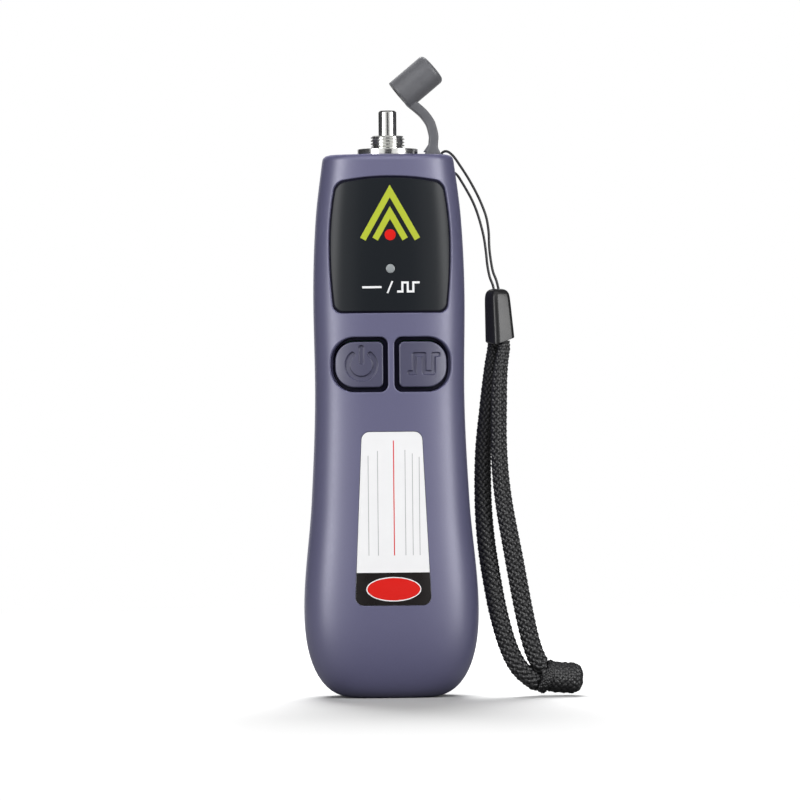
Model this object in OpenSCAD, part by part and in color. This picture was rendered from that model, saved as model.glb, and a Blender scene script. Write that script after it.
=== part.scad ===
// Visual fault locator: a hand-held red-light source for checking optical fibre.
// It stands upright, with +Z along its length and its front facing -Y.
// The origin is the middle of its base.

/* [Housing] */
// Height of the housing, without the port
body_h = 127; // [122:1:135]
// Width of the flat that it stands on
base_w = 17.5; // [14:0.5:22]
// Depth of the flat that it stands on
base_d = 12; // [9:0.5:16]
// Exponent of the rounding between the base and the hip
base_round = 2.35; // [2:0.05:2.8]
// Height of the widest place
hip_z = 20.5; // [18:0.5:24]
// Width at the hip
hip_w = 40.9; // [39:0.1:44]
// Depth at the hip
hip_d = 26.4; // [25.4:0.1:29]
// Height of the grip
grip_z = 46; // [40:0.5:52]
// Width at the grip
grip_w = 37; // [36.4:0.1:39]
// Depth at the grip
grip_d = 24; // [23.4:0.1:26]
// Height of the waist
waist_z = 73; // [68:0.5:76]
// Width at the waist
waist_w = 35; // [34.6:0.1:37]
// Depth at the waist
waist_d = 22.4; // [22:0.1:24]
// Place of the chest, as a share of the way from the waist to the top
chest_share = 0.37; // [0.3:0.01:0.44]
// Width at the chest
chest_w = 35.5; // [35:0.1:37]
// Depth at the chest
chest_d = 22.4; // [22:0.1:24]
// Place where the top begins to draw in, as a share of the same way
brow_share = 0.72; // [0.66:0.01:0.78]
// Width where the top begins to draw in
brow_w = 34.1; // [33.6:0.1:36]
// Depth where the top begins to draw in
brow_d = 21.8; // [21.4:0.1:23.4]
// Width of the top
crown_w = 30.5; // [30:0.1:33]
// Depth of the top
crown_d = 20.4; // [19.8:0.1:22]
// Radius of the edge round the top
edge_r = 1.2; // [0.8:0.1:1.6]
// Wall of the two shells
wall = 1.8; // [1.6:0.1:2]
// Exponent of the cross-section, where 2 is an ellipse
section_power = 3; // [2.8:0.05:3.3]

/* [Display window] */
// Web between the key pockets and the window
panel_web = 5.3; // [4.4:0.1:6]
// Drop from the housing's top to the window's upper edge
panel_drop = 5.2; // [4.4:0.1:6.4]
// Width of the window at its ends
panel_w = 27; // [25:0.1:28]
// Bulge of each side of the window
panel_bulge = 0.95; // [0.4:0.05:1.2]
// Rise of the window's upper edge
panel_arch = 0.8; // [0.3:0.05:1.2]
// Corner radius of the window
panel_r = 1.8; // [1:0.1:3]
// Thickness of the window film
panel_t = 0.5; // [0.4:0.05:0.7]
// Place of the status light, as a share of the window's height
led_share = 0.323; // [0.25:0.001:0.4]
// Diameter of the status light
led_d = 2.2; // [1.6:0.1:3]

/* [Keys] */
// Height of the keys' middle above the battery bay
key_rise = 15.65; // [15.4:0.05:17]
// Height of a key pocket
pocket_h = 13.1; // [12:0.1:14]
// Web between the two key pockets
pocket_web = 1.53; // [1.2:0.05:2]
// Outer edge of a key pocket, from the middle
pocket_x = 14.15; // [13.6:0.05:14.3]
// Visible gap round a keycap
key_gap = 1.12; // [0.8:0.02:1.3]
// Outer corner radius of a key pocket
pocket_outer_r = 5.6; // [4:0.1:6]
// Inner corner radius of a key pocket
pocket_inner_r = 1.8; // [1.4:0.1:2.4]
// Height that a keycap stands proud of the shell
key_proud = 0.25; // [0.1:0.05:0.5]
// Travel of a key
key_travel = 0.3; // [0.2:0.05:0.3]

/* [Sticker] */
// Height of the sticker's lower edge
label_z = 21.3; // [20:0.1:23]
// Height of the sticker
label_h = 40.9; // [36:0.1:43]
// Width of the sticker's upper edge
label_top_w = 14.2; // [12:0.1:16]
// Width of the sticker's lower edge
label_low_w = 17.9; // [16:0.1:20]
// Corner radius of the sticker
label_r = 2; // [1:0.1:3]
// Thickness of the sticker
sticker_t = 0.2; // [0.1:0.05:0.3]

/* [Port] */
// Diameter of the flange on the housing's top
flange_d = 14.2; // [13:0.1:15]
// Thickness of the flange
flange_t = 1.5; // [1.2:0.1:2]
// Diameter over the threaded collar
collar_d = 8; // [7.6:0.1:8.6]
// Length of the threaded collar
collar_h = 3.1; // [2.6:0.1:4]
// Outer diameter of the ferrule tube
tube_d = 4.25; // [4:0.05:4.6]
// Height that the ferrule tube stands above the collar
tube_h = 5.95; // [5:0.05:7]
// Bore of the ceramic sleeve, for a 2.5 mm ferrule
ferrule_d = 2.5; // [2.4:0.05:2.6]
// Diameter of the laser module
laser_d = 8; // [7.6:0.1:8.4]

/* [Dust cap] */
// Outer diameter of the cap
cap_d = 7.2; // [6.8:0.1:7.8]
// Length of the cap
cap_h = 10.1; // [9:0.1:11]
// Bore of the cap
cap_bore = 4.4; // [4.3:0.05:4.8]
// Depth of the cap's bore
cap_depth = 7.4; // [7:0.1:8.2]
// Tilt of the cap from upright, as it is stored
cap_tilt = 50; // [45:1:55]
// Thickness of the strap
strap_t = 2.2; // [1.8:0.1:2.4]
// Breadth of the strap, front to back
strap_b = 3.6; // [3:0.1:4]

/* [Battery bay] */
// Diameter of an AA cell
cell_d = 14.5; // [14:0.1:14.5]
// Length of an AA cell
cell_h = 50.5; // [49.5:0.1:50.5]
// Width of the battery door at its lower edge
door_low_w = 31; // [29:0.1:31.6]
// Width of the battery door at its upper edge
door_top_w = 30; // [28:0.1:30.6]
// Height of the battery door's lower edge
door_z = 9; // [8.6:0.1:9.6]
// Height of the battery door
door_h = 53; // [51:0.1:53.6]
// Thickness of the battery door
door_t = 1.5; // [1.2:0.1:1.6]

/* [Wrist strap] */
// Diameter of the string
string_d = 0.65; // [0.5:0.05:0.8]
// Diameter of a braided strand
strand_d = 3.8; // [3.4:0.1:3.9]
// Diameter of the string's hole in the housing
hole_d = 1.8; // [1.4:0.1:2]

/* [Hidden] */
// Overrun of a cut past the face that it opens
over = 1;
// Gap between faces that are assembled and stay put
fit = 0.05;
// Gap round a window, a sticker or a door
seam = 0.15;
// Running gap round a moving pin
slip = 0.06;
// Half way across a size
half = 0.5;

// Facets of the housing
section_steps = 20;
base_steps = 6;
side_steps = 14;
edge_steps = 2;
corner_steps = 5;
edge_points = 6;
$fn = 48;

// Heights that follow from the sizes, from the battery bay upwards
contact_t = 0.3;
spring_h = 3.9;
bay_low = 7.4;
bay_top = bay_low + 2 * contact_t + spring_h + cell_h;
key_z = bay_top + key_rise;
panel_z = key_z + pocket_h / 2 + panel_web;
panel_h = body_h - panel_drop - panel_z;
led_z = panel_z + led_share * panel_h;
chest_z = waist_z + chest_share * (body_h - waist_z);
brow_z = waist_z + brow_share * (body_h - waist_z);
shoulder_z = body_h;
body_widths = [
    [hip_z, hip_w], [grip_z, grip_w], [waist_z, waist_w],
    [chest_z, chest_w], [brow_z, brow_w], [body_h, crown_w]
];
body_depths = [
    [hip_z, hip_d], [grip_z, grip_d], [waist_z, waist_d],
    [chest_z, chest_d], [brow_z, brow_d], [body_h, crown_d]
];

// Colours
shell_colour = [0.42, 0.41, 0.55];
window_colour = [0.13, 0.15, 0.17];
black = [0.06, 0.06, 0.07];
rubber_grey = [0.33, 0.34, 0.36];
steel = [0.78, 0.79, 0.8];
brass = [0.8, 0.65, 0.35];
board_green = [0.08, 0.32, 0.18];

// Smooth curve through a table of [height, size] rows, level at the first row and at each turn
function row_slope(t, i) =
    i == 0 ? 0
    : i == len(t) - 1 ? (t[i][1] - t[i - 1][1]) / (t[i][0] - t[i - 1][0])
    : (t[i + 1][1] - t[i][1]) * (t[i][1] - t[i - 1][1]) <= 0 ? 0
    : (t[i + 1][1] - t[i - 1][1]) / (t[i + 1][0] - t[i - 1][0]);
function row_below(t, z, i = 0) = i >= len(t) - 2 || z < t[i + 1][0] ? i : row_below(t, z, i + 1);
function blend(p, q, m, n, u) =
    (2 * u^3 - 3 * u^2 + 1) * p + (u^3 - 2 * u^2 + u) * m + (3 * u^2 - 2 * u^3) * q + (u^3 - u^2) * n;
function curve_at(t, z) =
    let (i = row_below(t, z), d = t[i + 1][0] - t[i][0])
    blend(t[i][1], t[i + 1][1], row_slope(t, i) * d, row_slope(t, i + 1) * d, (z - t[i][0]) / d);

// Half width and half depth of the housing at a height
function rounding(z) = pow(1 - pow(1 - z / hip_z, base_round), 1 / base_round);
function edge_inset(z) =
    let (rise = z - (body_h - edge_r))
    rise <= 0 ? 0 : edge_r - sqrt(max(0, edge_r^2 - rise^2));
function half_size(table, base, hip, z) =
    (z < hip_z ? base + (hip - base) * rounding(z) : curve_at(table, z)) * half - edge_inset(z);
function half_w(z) = half_size(body_widths, base_w, hip_w, z);
function half_d(z) = half_size(body_depths, base_d, hip_d, z);

// Depth of a surface that lies inset from the outside, at a place on the front or the back
function skin_y(x, z, inset) =
    (half_d(z) - inset) * pow(1 - pow(abs(x) / (half_w(z) - inset), section_power), 1 / section_power);

// Heights of the rings that the housing is skinned over
ring_heights = concat(
    [for (i = [0:base_steps - 1]) hip_z * (1 - cos(90 * i / base_steps))],
    [for (i = [0:side_steps]) hip_z + (body_h - edge_r - hip_z) * i / side_steps],
    [for (i = [1:edge_steps]) body_h - edge_r + edge_r * sin(90 * i / edge_steps)]
);

// Half a cross-section, inset from the outside, from the right edge round the front to the left edge
function inset_z(z, inset) = inset + z * (1 - 2 * inset / body_h);
function half_section(z, inset, steps = section_steps) =
    let (a = half_w(z) - inset, b = half_d(z) - inset, p = 2 / section_power)
    [for (i = [0:steps])
        let (t = 180 * i / steps)
        [a * sign(cos(t)) * pow(abs(cos(t)), p), -b * pow(sin(t), p), inset_z(z, inset)]];
function reversed(list) = [for (i = [len(list) - 1:-1:0]) list[i]];

// Faces between rings of n points, and the faces that close their ends
function side_faces(rings, n) =
    [for (r = [0:rings - 2], k = [0:n - 1])
        let (a = r * n + k, b = r * n + (k + 1) % n)
        each [[a, b, b + n], [a, b + n, a + n]]];
function end_fan(first, n, flip) =
    [for (k = [1:n - 2]) flip ? [first, first + k, first + k + 1] : [first, first + k + 1, first + k]];
function end_strip(first, n, flip) =
    [for (k = [0:n / 2 - 2])
        let (a = first + k, b = a + 1, c = first + n - 2 - k, d = c + 1)
        each (flip ? [[a, b, c], [a, c, d]] : [[a, c, b], [a, d, c]])];

function rings_near(low, high) =
    [for (i = [0:len(ring_heights) - 1])
        let (below = i == len(ring_heights) - 1 ? true : ring_heights[i + 1] > low,
             above = i == 0 ? true : ring_heights[i - 1] < high)
        if (below && above) ring_heights[i]];

// Front half of the housing's form as a solid, inset from the outside
module half_plug(inset, low = 0, high = body_h) {
    heights = rings_near(low, high);
    n = section_steps + 1;
    points = [for (z = heights) each half_section(z, inset)];
    polyhedron(points, concat(
        side_faces(len(heights), n),
        end_fan(0, n, false),
        end_fan((len(heights) - 1) * n, n, true)
    ), convexity = 4);
}

// Front half of a layer between two insets, open at its ends
module half_layer(outer, inner, low, high) {
    heights = rings_near(low, high);
    n = 2 * (section_steps + 1);
    points = [for (z = heights) each concat(half_section(z, outer), reversed(half_section(z, inner)))];
    polyhedron(points, concat(
        side_faces(len(heights), n),
        end_strip(0, n, false),
        end_strip((len(heights) - 1) * n, n, true)
    ), convexity = 6);
}

// Front half of the hollow housing, closed at its base and its top
module half_shell() {
    m = section_steps + 1;
    n = 2 * m;
    last = (len(ring_heights) - 1) * n;
    points = [for (z = ring_heights) each concat(half_section(z, 0), reversed(half_section(z, wall)))];
    polyhedron(points, concat(
        side_faces(len(ring_heights), n),
        end_fan(0, m, false),
        end_fan(m, m, false),
        [[0, m, m - 1], [0, n - 1, m]],
        end_fan(last, m, true),
        end_fan(last + m, m, true),
        [[last, last + m - 1, last + m], [last, last + m, last + n - 1]]
    ), convexity = 6);
}

module at_rear() {
    mirror([0, 1, 0]) children();
}

// Outline with rounded corners, given as corners and one radius for each
function unit(v) = v / norm(v);
function spun(v, t) = [v.x * cos(t) - v.y * sin(t), v.x * sin(t) + v.y * cos(t)];
function corner_arc(a, p, b, r) =
    let (u = unit(a - p), v = unit(b - p), h = acos(u * v) / 2,
         middle = p + unit(u + v) * r / sin(h), start = p + u * r / tan(h) - middle)
    [for (i = [0:corner_steps]) middle + spun(start, (180 - 2 * h) * i / corner_steps)];
function rounded(corners, radii) =
    let (n = len(corners))
    [for (i = [0:n - 1])
        each corner_arc(corners[(i + n - 1) % n], corners[i], corners[(i + 1) % n], radii[i])];
function trapezoid(low_w, top_w, z, h, r) =
    rounded(
        [[-low_w / 2, z], [low_w / 2, z], [top_w / 2, z + h], [-top_w / 2, z + h]],
        [r, r, r, r]
    );
function subdivided(points) =
    [for (i = [0:len(points) - 1], k = [0:edge_points - 1])
        let (q = points[(i + 1) % len(points)], p = points[i])
        if (k == 0 || norm(q - p) > panel_r) p + (q - p) * k / edge_points];

// Prism through the front, from an outline as seen from the front
module through_front(outline, near = 0, far = hip_d) {
    translate([0, -near, 0])
        rotate([90, 0, 0]) linear_extrude(height = far - near) polygon(outline);
}

// Rod along Y, from one depth to another
module rod_y(x, z, r, from, to) {
    translate([x, from, z]) rotate([-90, 0, 0]) cylinder(r = r, h = to - from);
}

// Window, key and sticker outlines, each shrunk by a gap
function window_outline(gap) =
    let (w = panel_w / 2 - gap, h = panel_h / 2 - gap, mid = panel_z + panel_h / 2, r = panel_r)
    [for (p = subdivided(rounded([[-w, -h], [w, -h], [w, h], [-w, h]], [r, r, r, r])))
        let (u = p.x / w, v = p.y / h)
        [p.x + u * panel_bulge * (1 - v^2), mid + p.y + (v > 0 ? v * panel_arch * (1 - u^2) : 0)]];
function key_outline(gap) =
    let (x0 = pocket_web / 2 + gap, x1 = pocket_x - gap, z0 = key_z - pocket_h / 2 + gap,
         z1 = key_z + pocket_h / 2 - gap, out = pocket_outer_r - gap, in = pocket_inner_r - gap / 2)
    rounded([[x0, z0], [x1, z0], [x1, z1], [x0, z1]], [in, out, out, in]);
function sticker_outline(gap) =
    trapezoid(label_low_w - 2 * gap, label_top_w - 2 * gap, label_z + gap, label_h - 2 * gap, label_r);
function door_outline(gap) =
    trapezoid(door_low_w - 2 * gap, door_top_w - 2 * gap, door_z + gap, door_h - 2 * gap, door_r);

// Circuit board, with a tongue at its top that passes between the bosses
board_y = 5.6;
board_t = 1.2;
board_rise = 3.1;
board_drop = 15;
board_tip_drop = 9;
board_clear = 0.6;
board_r = 1.5;
board_low = bay_top + board_rise;
board_top = body_h - board_drop;

// Screws and bosses
screw_r = 1;
screw_head_r = 1.9;
screw_head_h = 1.2;
screw_l = 9;
screw_sink = 5;
case_boss_r = 2.2;
rear_boss_r = 2.9;
case_screw_inset = 4.5;
case_screw_rise = 4.4;
case_screw_top_inset = 4.05;
case_screw_drop = 11.5;
case_screw_low = [waist_w / 2 - case_screw_inset, bay_top + case_screw_rise];
case_screw_top = [crown_w / 2 - case_screw_top_inset, body_h - case_screw_drop];
case_screw_places = [
    [-case_screw_low.x, case_screw_low.y], case_screw_low,
    [-case_screw_top.x, case_screw_top.y], case_screw_top
];
board_screw_r = 0.8;
board_head_r = 1.5;
board_head_h = 0.9;
board_screw_l = 3.6;
board_boss_r = 1.7;
board_screw_clear = 1.5;
board_edge = 2.4;
board_screw_rise = 2.1;
board_screw_top_inset = 2.3;
board_screw_drop = 2.6;
board_screw_low = [
    case_screw_low.x - case_boss_r - board_head_r - board_screw_clear, board_low + board_screw_rise
];
board_w = 2 * (board_screw_low.x + board_edge);
board_screw_top = [board_w / 2 - board_screw_top_inset, board_top - board_screw_drop];
board_screw_places = [
    [-board_screw_low.x, board_screw_low.y], board_screw_low,
    [-board_screw_top.x, board_screw_top.y], board_screw_top
];

// Keys, their switches and their mat
switch_w = 5.2;
switch_t = 1;
plunger_r = 1.2;
plunger_in = 0.5;
plunger_out = 0.4;
key_x = (pocket_web / 2 + pocket_x) / 2;
key_back = board_y + switch_t + plunger_out;
stem_r = 1.8;
keycap_depth = 3;
mat_sink = 1.1;
mat_t = 0.8;
mat_margin = 1.2;
mat_side = 0.2;

// Light
pipe_flange_r = 1.7;
pipe_flange_t = 0.7;
led_body = [2, 0.9, 1.3];

// Battery bay
door_r = 4;
ledge_w = 1.3;
ledge_t = 1;
cell_gap = 0.4;
cell_y = 0.6;
cell_x = (cell_d + cell_gap) / 2;
cell_nub_r = 2.75;
cell_nub_h = 1.3;
bay_wall = 1.4;
tray_fit = 0.25;
tray_gap = 0.15;
tray_share = 0.125;
hook_w = 5;
hook_t = 0.9;
hook_drop = 1.2;
hook_back = 3.3;

// Port, along the housing's axis
spigot_r = 4.7;
spigot_h = 7.5;
nut_flats = 12;
nut_h = 2.2;
washer_rim = 0.7;
washer_r = spigot_r + washer_rim;
washer_t = 0.3;
laser_neck_r = 3;
laser_neck_h = 2.9;
laser_h = 21.4;
laser_bore_r = 2.3;
diode_r = 2.8;
diode_can_r = 2.2;
diode_flange_t = 1.2;
diode_can_h = 2.4;
pin_r = 0.22;
diode_pins = 3;
pin_turn = 90;
pin_h = 4.2;
lens_t = 1.6;
lens_bow_share = 0.25;
lens_mid_share = 0.425;
lens_ring_share = 0.65;
lens_seat = 12;
lens_ring_h = 1.5;
sleeve_wall = 0.38;
sleeve_h = 10;
rim_h = 0.55;
rim_chamfer = 0.35;
collar_top = shoulder_z + flange_t + collar_h;
tube_top = collar_top + tube_h;
spigot_low = shoulder_z - spigot_h;
laser_low = spigot_low - fit - laser_h;

// Dust cap: places beside the port, measured from the housing's axis and its top
cap_mouth = [2.8, 14.2];
cap_round = 1.2;
foot_x = 10.65;
foot_w = 4.2;
foot_h = 1.6;
foot_lip = 1.4;
foot_stem_r = 1.1;
foot_barb_r = 1.5;
foot_barb_h = 0.9;
strap_points = [
    [10.6, 1.6], [10.75, 3.1], [10.8, 4.8], [10.2, 7.2], [9.5, 8.5], [8.4, 9.9], [7.2, 11.1], [5.6, 12.6]
];
root_point = 2;
neck_point = 4;

// Lanyard hole
hole_x = 12.6;
hole_y = 3.4;
hole_drop = 3.6;
hole_z = body_h - hole_drop;
lug_r = 2.4;
lug_b = 2.8;

// String, strands and knot: route points chosen by hand. The string's heights are from the housing's top
string_route = [
    [25.9, 1, -31.6], [25.4, 1, -29.5], [24.6, 1.1, -27.3], [24.1, 1.2, -24.5], [23.8, 1.4, -21.5],
    [23.7, 1.6, -18], [23.2, 1.8, -14.6], [22.1, 2.1, -11.4], [20.7, 2.5, -8.3], [18.9, 2.8, -5],
    [17, 3.1, -2], [15.6, 3.3, 0], [14.2, 3.4, 1.1], [13, 3.4, 0.8], [12.6, 3.4, -0.6],
    [12.7, 3.4, -2.4], [13.4, 3.4, -3.4], [15, 3.4, -3.5], [16.4, 3.3, -4.4], [17.4, 3.1, -5.9],
    [18.6, 2.7, -8], [20, 2.3, -10.7], [21.1, 1.9, -13.6], [22, 1.6, -16.8], [22.6, 1.4, -19.6],
    [23, 1.2, -22.7], [23.3, 1.1, -25.8], [23.8, 1, -28.5], [24.5, 1, -30.4], [24.8, 1, -31.6]
];
strand_front_route = [
    [26.9, -1.4, 83.1], [26.9, -1.4, 81.6], [26.1, -2, 77], [25.6, -2.4, 70], [25.5, -2.6, 57],
    [26.4, -2.8, 46], [28.6, -3.2, 33], [30.9, -3.6, 20], [32.7, -3.9, 12], [34.5, -4, 7.6], [35.9, -4, 6.9]
];
strand_back_route = [
    [24.6, 1.9, 83.1], [24.6, 1.9, 81.6], [24, 1.9, 77], [23.2, 1.7, 69], [22, 1.2, 58],
    [21.8, 0.4, 46], [22.4, -0.6, 36], [23.8, -1.8, 26], [25.2, -2.8, 18.6], [27.2, -3.5, 11.6],
    [29.6, -3.9, 6.8], [32.7, -4, 3.9], [34.1, -4, 3.2]
];
clasp_top_drop = 31.8;
clasp_low_drop = 43.8;
clasp_top = [25.35, 1, body_h - clasp_top_drop];
clasp_low = [25.9, 0.4, body_h - clasp_low_drop];
strand_reach = 83.2;
clasp_top_size = [4.6, 4.4];
clasp_low_size = [6.8, 8.2];
clasp_r = 1;
clasp_turn = 28;
knot_face = [35.1, -4, 5];
knot_tilt = 116;
knot_ring_r = 4.3;
knot_ring_w = 2.6;
knot_stub_r = 4.1;
knot_stub_l = 7.4;
knot_stub_shares = [[0.8, 0], [1, 0.3], [1, 0.7], [0.7, 1]];

// Tube swept along a route, with round sections square to it
function smooth_route(p, steps) =
    [for (i = [0:len(p) - 2], k = [0:steps - 1])
        let (before = p[max(i - 1, 0)], after = p[min(i + 2, len(p) - 1)])
        blend(p[i], p[i + 1], (p[i + 1] - before) / 2, (after - p[i]) / 2, k / steps)];
function route_ahead(route, path, i) =
    i == 0 ? unit(route[1] - route[0])
    : i == len(path) - 1 ? unit(route[len(route) - 1] - route[len(route) - 2])
    : unit(path[i + 1] - path[i - 1]);
function route_ring(middle, ahead, aside, r, sides) =
    let (across = unit(cross(ahead, aside)), up = cross(across, ahead))
    [for (k = [0:sides - 1])
        let (t = 360 * (k + half) / sides)
        middle + r * (cos(t) * across + sin(t) * up)];
module tube(route, r, sides, steps, aside = [0, 1, 0]) {
    path = concat(smooth_route(route, steps), [route[len(route) - 1]]);
    points = [for (i = [0:len(path) - 1])
        each route_ring(path[i], route_ahead(route, path, i), aside, r, sides)];
    polyhedron(points, concat(
        side_faces(len(path), sides),
        end_fan(0, sides, false),
        end_fan((len(path) - 1) * sides, sides, true)
    ), convexity = 8);
}

// Bosses that join a shell's wall, clipped inside it
module wall_bosses(places, r, from, low, high) {
    intersection() {
        for (p = places) rod_y(p.x, p.y, r, -hip_d, -from);
        half_plug(wall / 2, low, high);
    }
}

module front_shell() {
    color(shell_colour) difference() {
        union() {
            half_shell();
            wall_bosses(board_screw_places, board_boss_r, board_y, board_low, brow_z);
            wall_bosses(case_screw_places, case_boss_r, 0, board_low, body_h - edge_r);
        }
        intersection() {
            through_front(window_outline(0));
            half_layer(-over, panel_t + fit, panel_z, panel_z + panel_h);
        }
        intersection() {
            through_front(sticker_outline(0));
            half_layer(-over, sticker_t + fit, label_z, label_z + label_h);
        }
        through_front(key_outline(0));
        mirror([1, 0, 0]) through_front(key_outline(0));
        rod_y(0, led_z, led_d / 2 + fit, -hip_d, 0);
        for (p = case_screw_places) rod_y(p.x, p.y, screw_r + fit, -screw_l, over);
        for (p = board_screw_places) rod_y(p.x, p.y, board_screw_r + fit, -board_y - board_screw_l, 0);
        top_holes();
    }
}

// Holes through the top, for the port and the cap's foot
module top_holes() {
    translate([0, 0, shoulder_z - 2 * wall]) cylinder(r = spigot_r + fit, h = 3 * wall);
    translate([foot_x, 0, shoulder_z - 2 * wall]) cylinder(r = foot_stem_r + fit, h = 3 * wall);
}

module rear_shell() {
    color(shell_colour) difference() {
        union() {
            at_rear() half_shell();
            at_rear() wall_bosses(case_screw_places, rear_boss_r, fit, board_low, body_h - edge_r);
            at_rear() door_ledge();
            rod_y(hole_x, hole_z, lug_r, hole_y - lug_b / 2, hole_y + lug_b / 2);
        }
        at_rear() through_front(door_outline(0), half_d(door_z) / 2);
        for (p = case_screw_places) {
            rod_y(p.x, p.y, screw_r + slip, -over, hip_d);
            rod_y(p.x, p.y, screw_head_r + slip, screw_sink, hip_d);
        }
        translate([hole_x, hole_y, hole_z]) {
            cylinder(r = hole_d / 2, h = body_h);
            rotate([0, 90, 0]) cylinder(r = hole_d / 2, h = crown_w);
        }
        top_holes();
    }
}

// Step that the battery door lies on, at its sides and its top
module door_ledge() {
    intersection() {
        difference() {
            through_front(door_outline(-ledge_w));
            through_front(door_outline(ledge_w));
            translate([-door_low_w, -hip_d, 0]) cube([2 * door_low_w, hip_d, door_z + 2 * door_r]);
        }
        half_layer(door_t + fit, door_t + fit + ledge_t, door_z, door_z + door_h + ledge_w);
    }
}

module battery_door() {
    color(shell_colour) at_rear() difference() {
        union() {
            intersection() {
                through_front(door_outline(seam));
                half_layer(0, door_t, door_z, door_z + door_h);
            }
            translate([-hook_w / 2, 0, door_z]) door_hook(-half_d(door_z));
        }
        thumb_notch();
    }
}

// Hook under the door's lower edge, which turns inside the wall
module door_hook(y) {
    translate([0, y + door_t - fit, seam]) cube([hook_w, hook_back - door_t + hook_t, 2 * hook_t]);
    translate([0, y + hook_back, -hook_drop]) cube([hook_w, hook_t, hook_drop + 2 * hook_t]);
}

// Shallow scoop for the thumb near the door's upper edge
thumb_r = 10;
thumb_drop = 9;
thumb_depth = 0.8;
module thumb_notch() {
    z = door_z + door_h - thumb_drop;
    translate([0, -skin_y(0, z, thumb_depth) - thumb_r, z]) sphere(r = thumb_r);
}

module display_window() {
    color(window_colour) difference() {
        intersection() {
            through_front(window_outline(seam));
            half_layer(fit, panel_t + fit, panel_z, panel_z + panel_h);
        }
        rod_y(0, led_z, led_d / 2 + fit, -hip_d, 0);
    }
}

module light_pipe() {
    front = skin_y(0, led_z, 2 * fit);
    back = board_y + led_body.y + slip;
    seat = skin_y(0, led_z, wall) - seam;
    color([0.75, 0.77, 0.78]) {
        rod_y(0, led_z, led_d / 2, -front, -back);
        rod_y(0, led_z, pipe_flange_r, -seat, -seat + pipe_flange_t);
    }
}

module status_led() {
    color([0.9, 0.9, 0.85])
        translate([-led_body.x / 2, -board_y - led_body.y, led_z - led_body.z / 2]) cube(led_body);
}

// A keycap with the stem that presses its switch
module keycap() {
    color(shell_colour) union() {
        intersection() {
            through_front(key_outline(key_gap), key_back + key_travel + plunger_out);
            half_layer(-key_proud, keycap_depth, key_z - pocket_h / 2, key_z + pocket_h / 2);
        }
        rod_y(key_x, key_z, stem_r, -key_back - 2 * plunger_out - key_travel, -key_back);
    }
}
module power_key() {
    mirror([1, 0, 0]) keycap();
}
module mode_key() {
    keycap();
}

// Black mat behind the front, which fills the gap round both keys
module key_mat() {
    low = key_z - pocket_h / 2 - mat_margin;
    high = key_z + pocket_h / 2 + mat_margin;
    side = pocket_x + mat_side;
    r = pocket_inner_r;
    color(black) difference() {
        union() {
            intersection() {
                through_front(
                    rounded([[-side, low], [side, low], [side, high], [-side, high]], [r, r, r, r])
                );
                half_layer(wall + fit, wall + fit + mat_t, low, high);
            }
            for (s = [0, 1]) mirror([s, 0, 0]) intersection() {
                through_front(key_outline(seam));
                half_layer(mat_sink, wall + 2 * fit, low, high);
            }
        }
        for (s = [0, 1]) mirror([s, 0, 0]) through_front(key_outline(key_gap - seam));
    }
}

module sticker() {
    color("white") intersection() {
        through_front(sticker_outline(fit));
        half_layer(fit, sticker_t + fit, label_z, label_z + label_h);
    }
}

module board_plate(w, low, high) {
    r = board_r;
    through_front(
        rounded([[-w, low], [w, low], [w, high], [-w, high]], [r, r, r, r]),
        board_y - board_t, board_y
    );
}
module circuit_board() {
    color(board_green) difference() {
        union() {
            board_plate(board_w / 2, board_low, board_top);
            board_plate(
                case_screw_top.x - case_boss_r - board_clear,
                board_top - 2 * board_r, body_h - board_tip_drop
            );
        }
        for (p = board_screw_places) rod_y(p.x, p.y, board_screw_r + fit, -board_y - over, over);
    }
}

// Chip, coil, capacitor and resistors soldered to the board
chip = [5, 1.2, 6];
coil_r = 2.4;
coil_h = 2;
coil_x = -6;
coil_share = 0.395;
capacitor_r = 2;
capacitor_h = 2.6;
capacitor_x = 6;
capacitor_share = 0.52;
resistor = [1.2, 0.5, 2];
resistor_gap = 3;
resistor_share = 0.2;
function on_board(share) =
    let (low = key_z + switch_w / 2) low + share * (board_screw_top.y - low);
module board_parts() {
    color([0.15, 0.15, 0.16]) {
        translate([-chip.x / 2, -board_y - chip.y, board_screw_top.y - chip.z]) cube(chip);
        rod_y(coil_x, on_board(coil_share), coil_r, -board_y - coil_h, -board_y);
        rod_y(capacitor_x, on_board(capacitor_share), capacitor_r, -board_y - capacitor_h, -board_y);
        for (i = [-1:1])
            translate([i * resistor_gap - resistor.x / 2, -board_y - resistor.y, on_board(resistor_share)])
                cube(resistor);
    }
}

module board_screws() {
    back = -board_y + board_t;
    color(steel) for (p = board_screw_places) {
        rod_y(p.x, p.y, board_screw_r, back - board_t - board_screw_l + 2 * fit, back + fit);
        rod_y(p.x, p.y, board_head_r, back, back + board_head_h);
    }
}

// Low switch under a key, with a well for its plunger
module key_switch() {
    color([0.2, 0.2, 0.21]) difference() {
        translate([key_x - switch_w / 2, -board_y - switch_t, key_z - switch_w / 2])
            cube([switch_w, switch_t, switch_w]);
        rod_y(key_x, key_z, plunger_r + slip, -board_y - switch_t - over, -board_y - slip);
    }
}
module power_switch() {
    mirror([1, 0, 0]) key_switch();
}
module mode_switch() {
    key_switch();
}
module key_plunger() {
    color([0.85, 0.6, 0.2])
        rod_y(key_x, key_z, plunger_r, -key_back, -board_y - switch_t + plunger_in);
}
module power_plunger() {
    mirror([1, 0, 0]) key_plunger();
}
module mode_plunger() {
    key_plunger();
}

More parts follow.
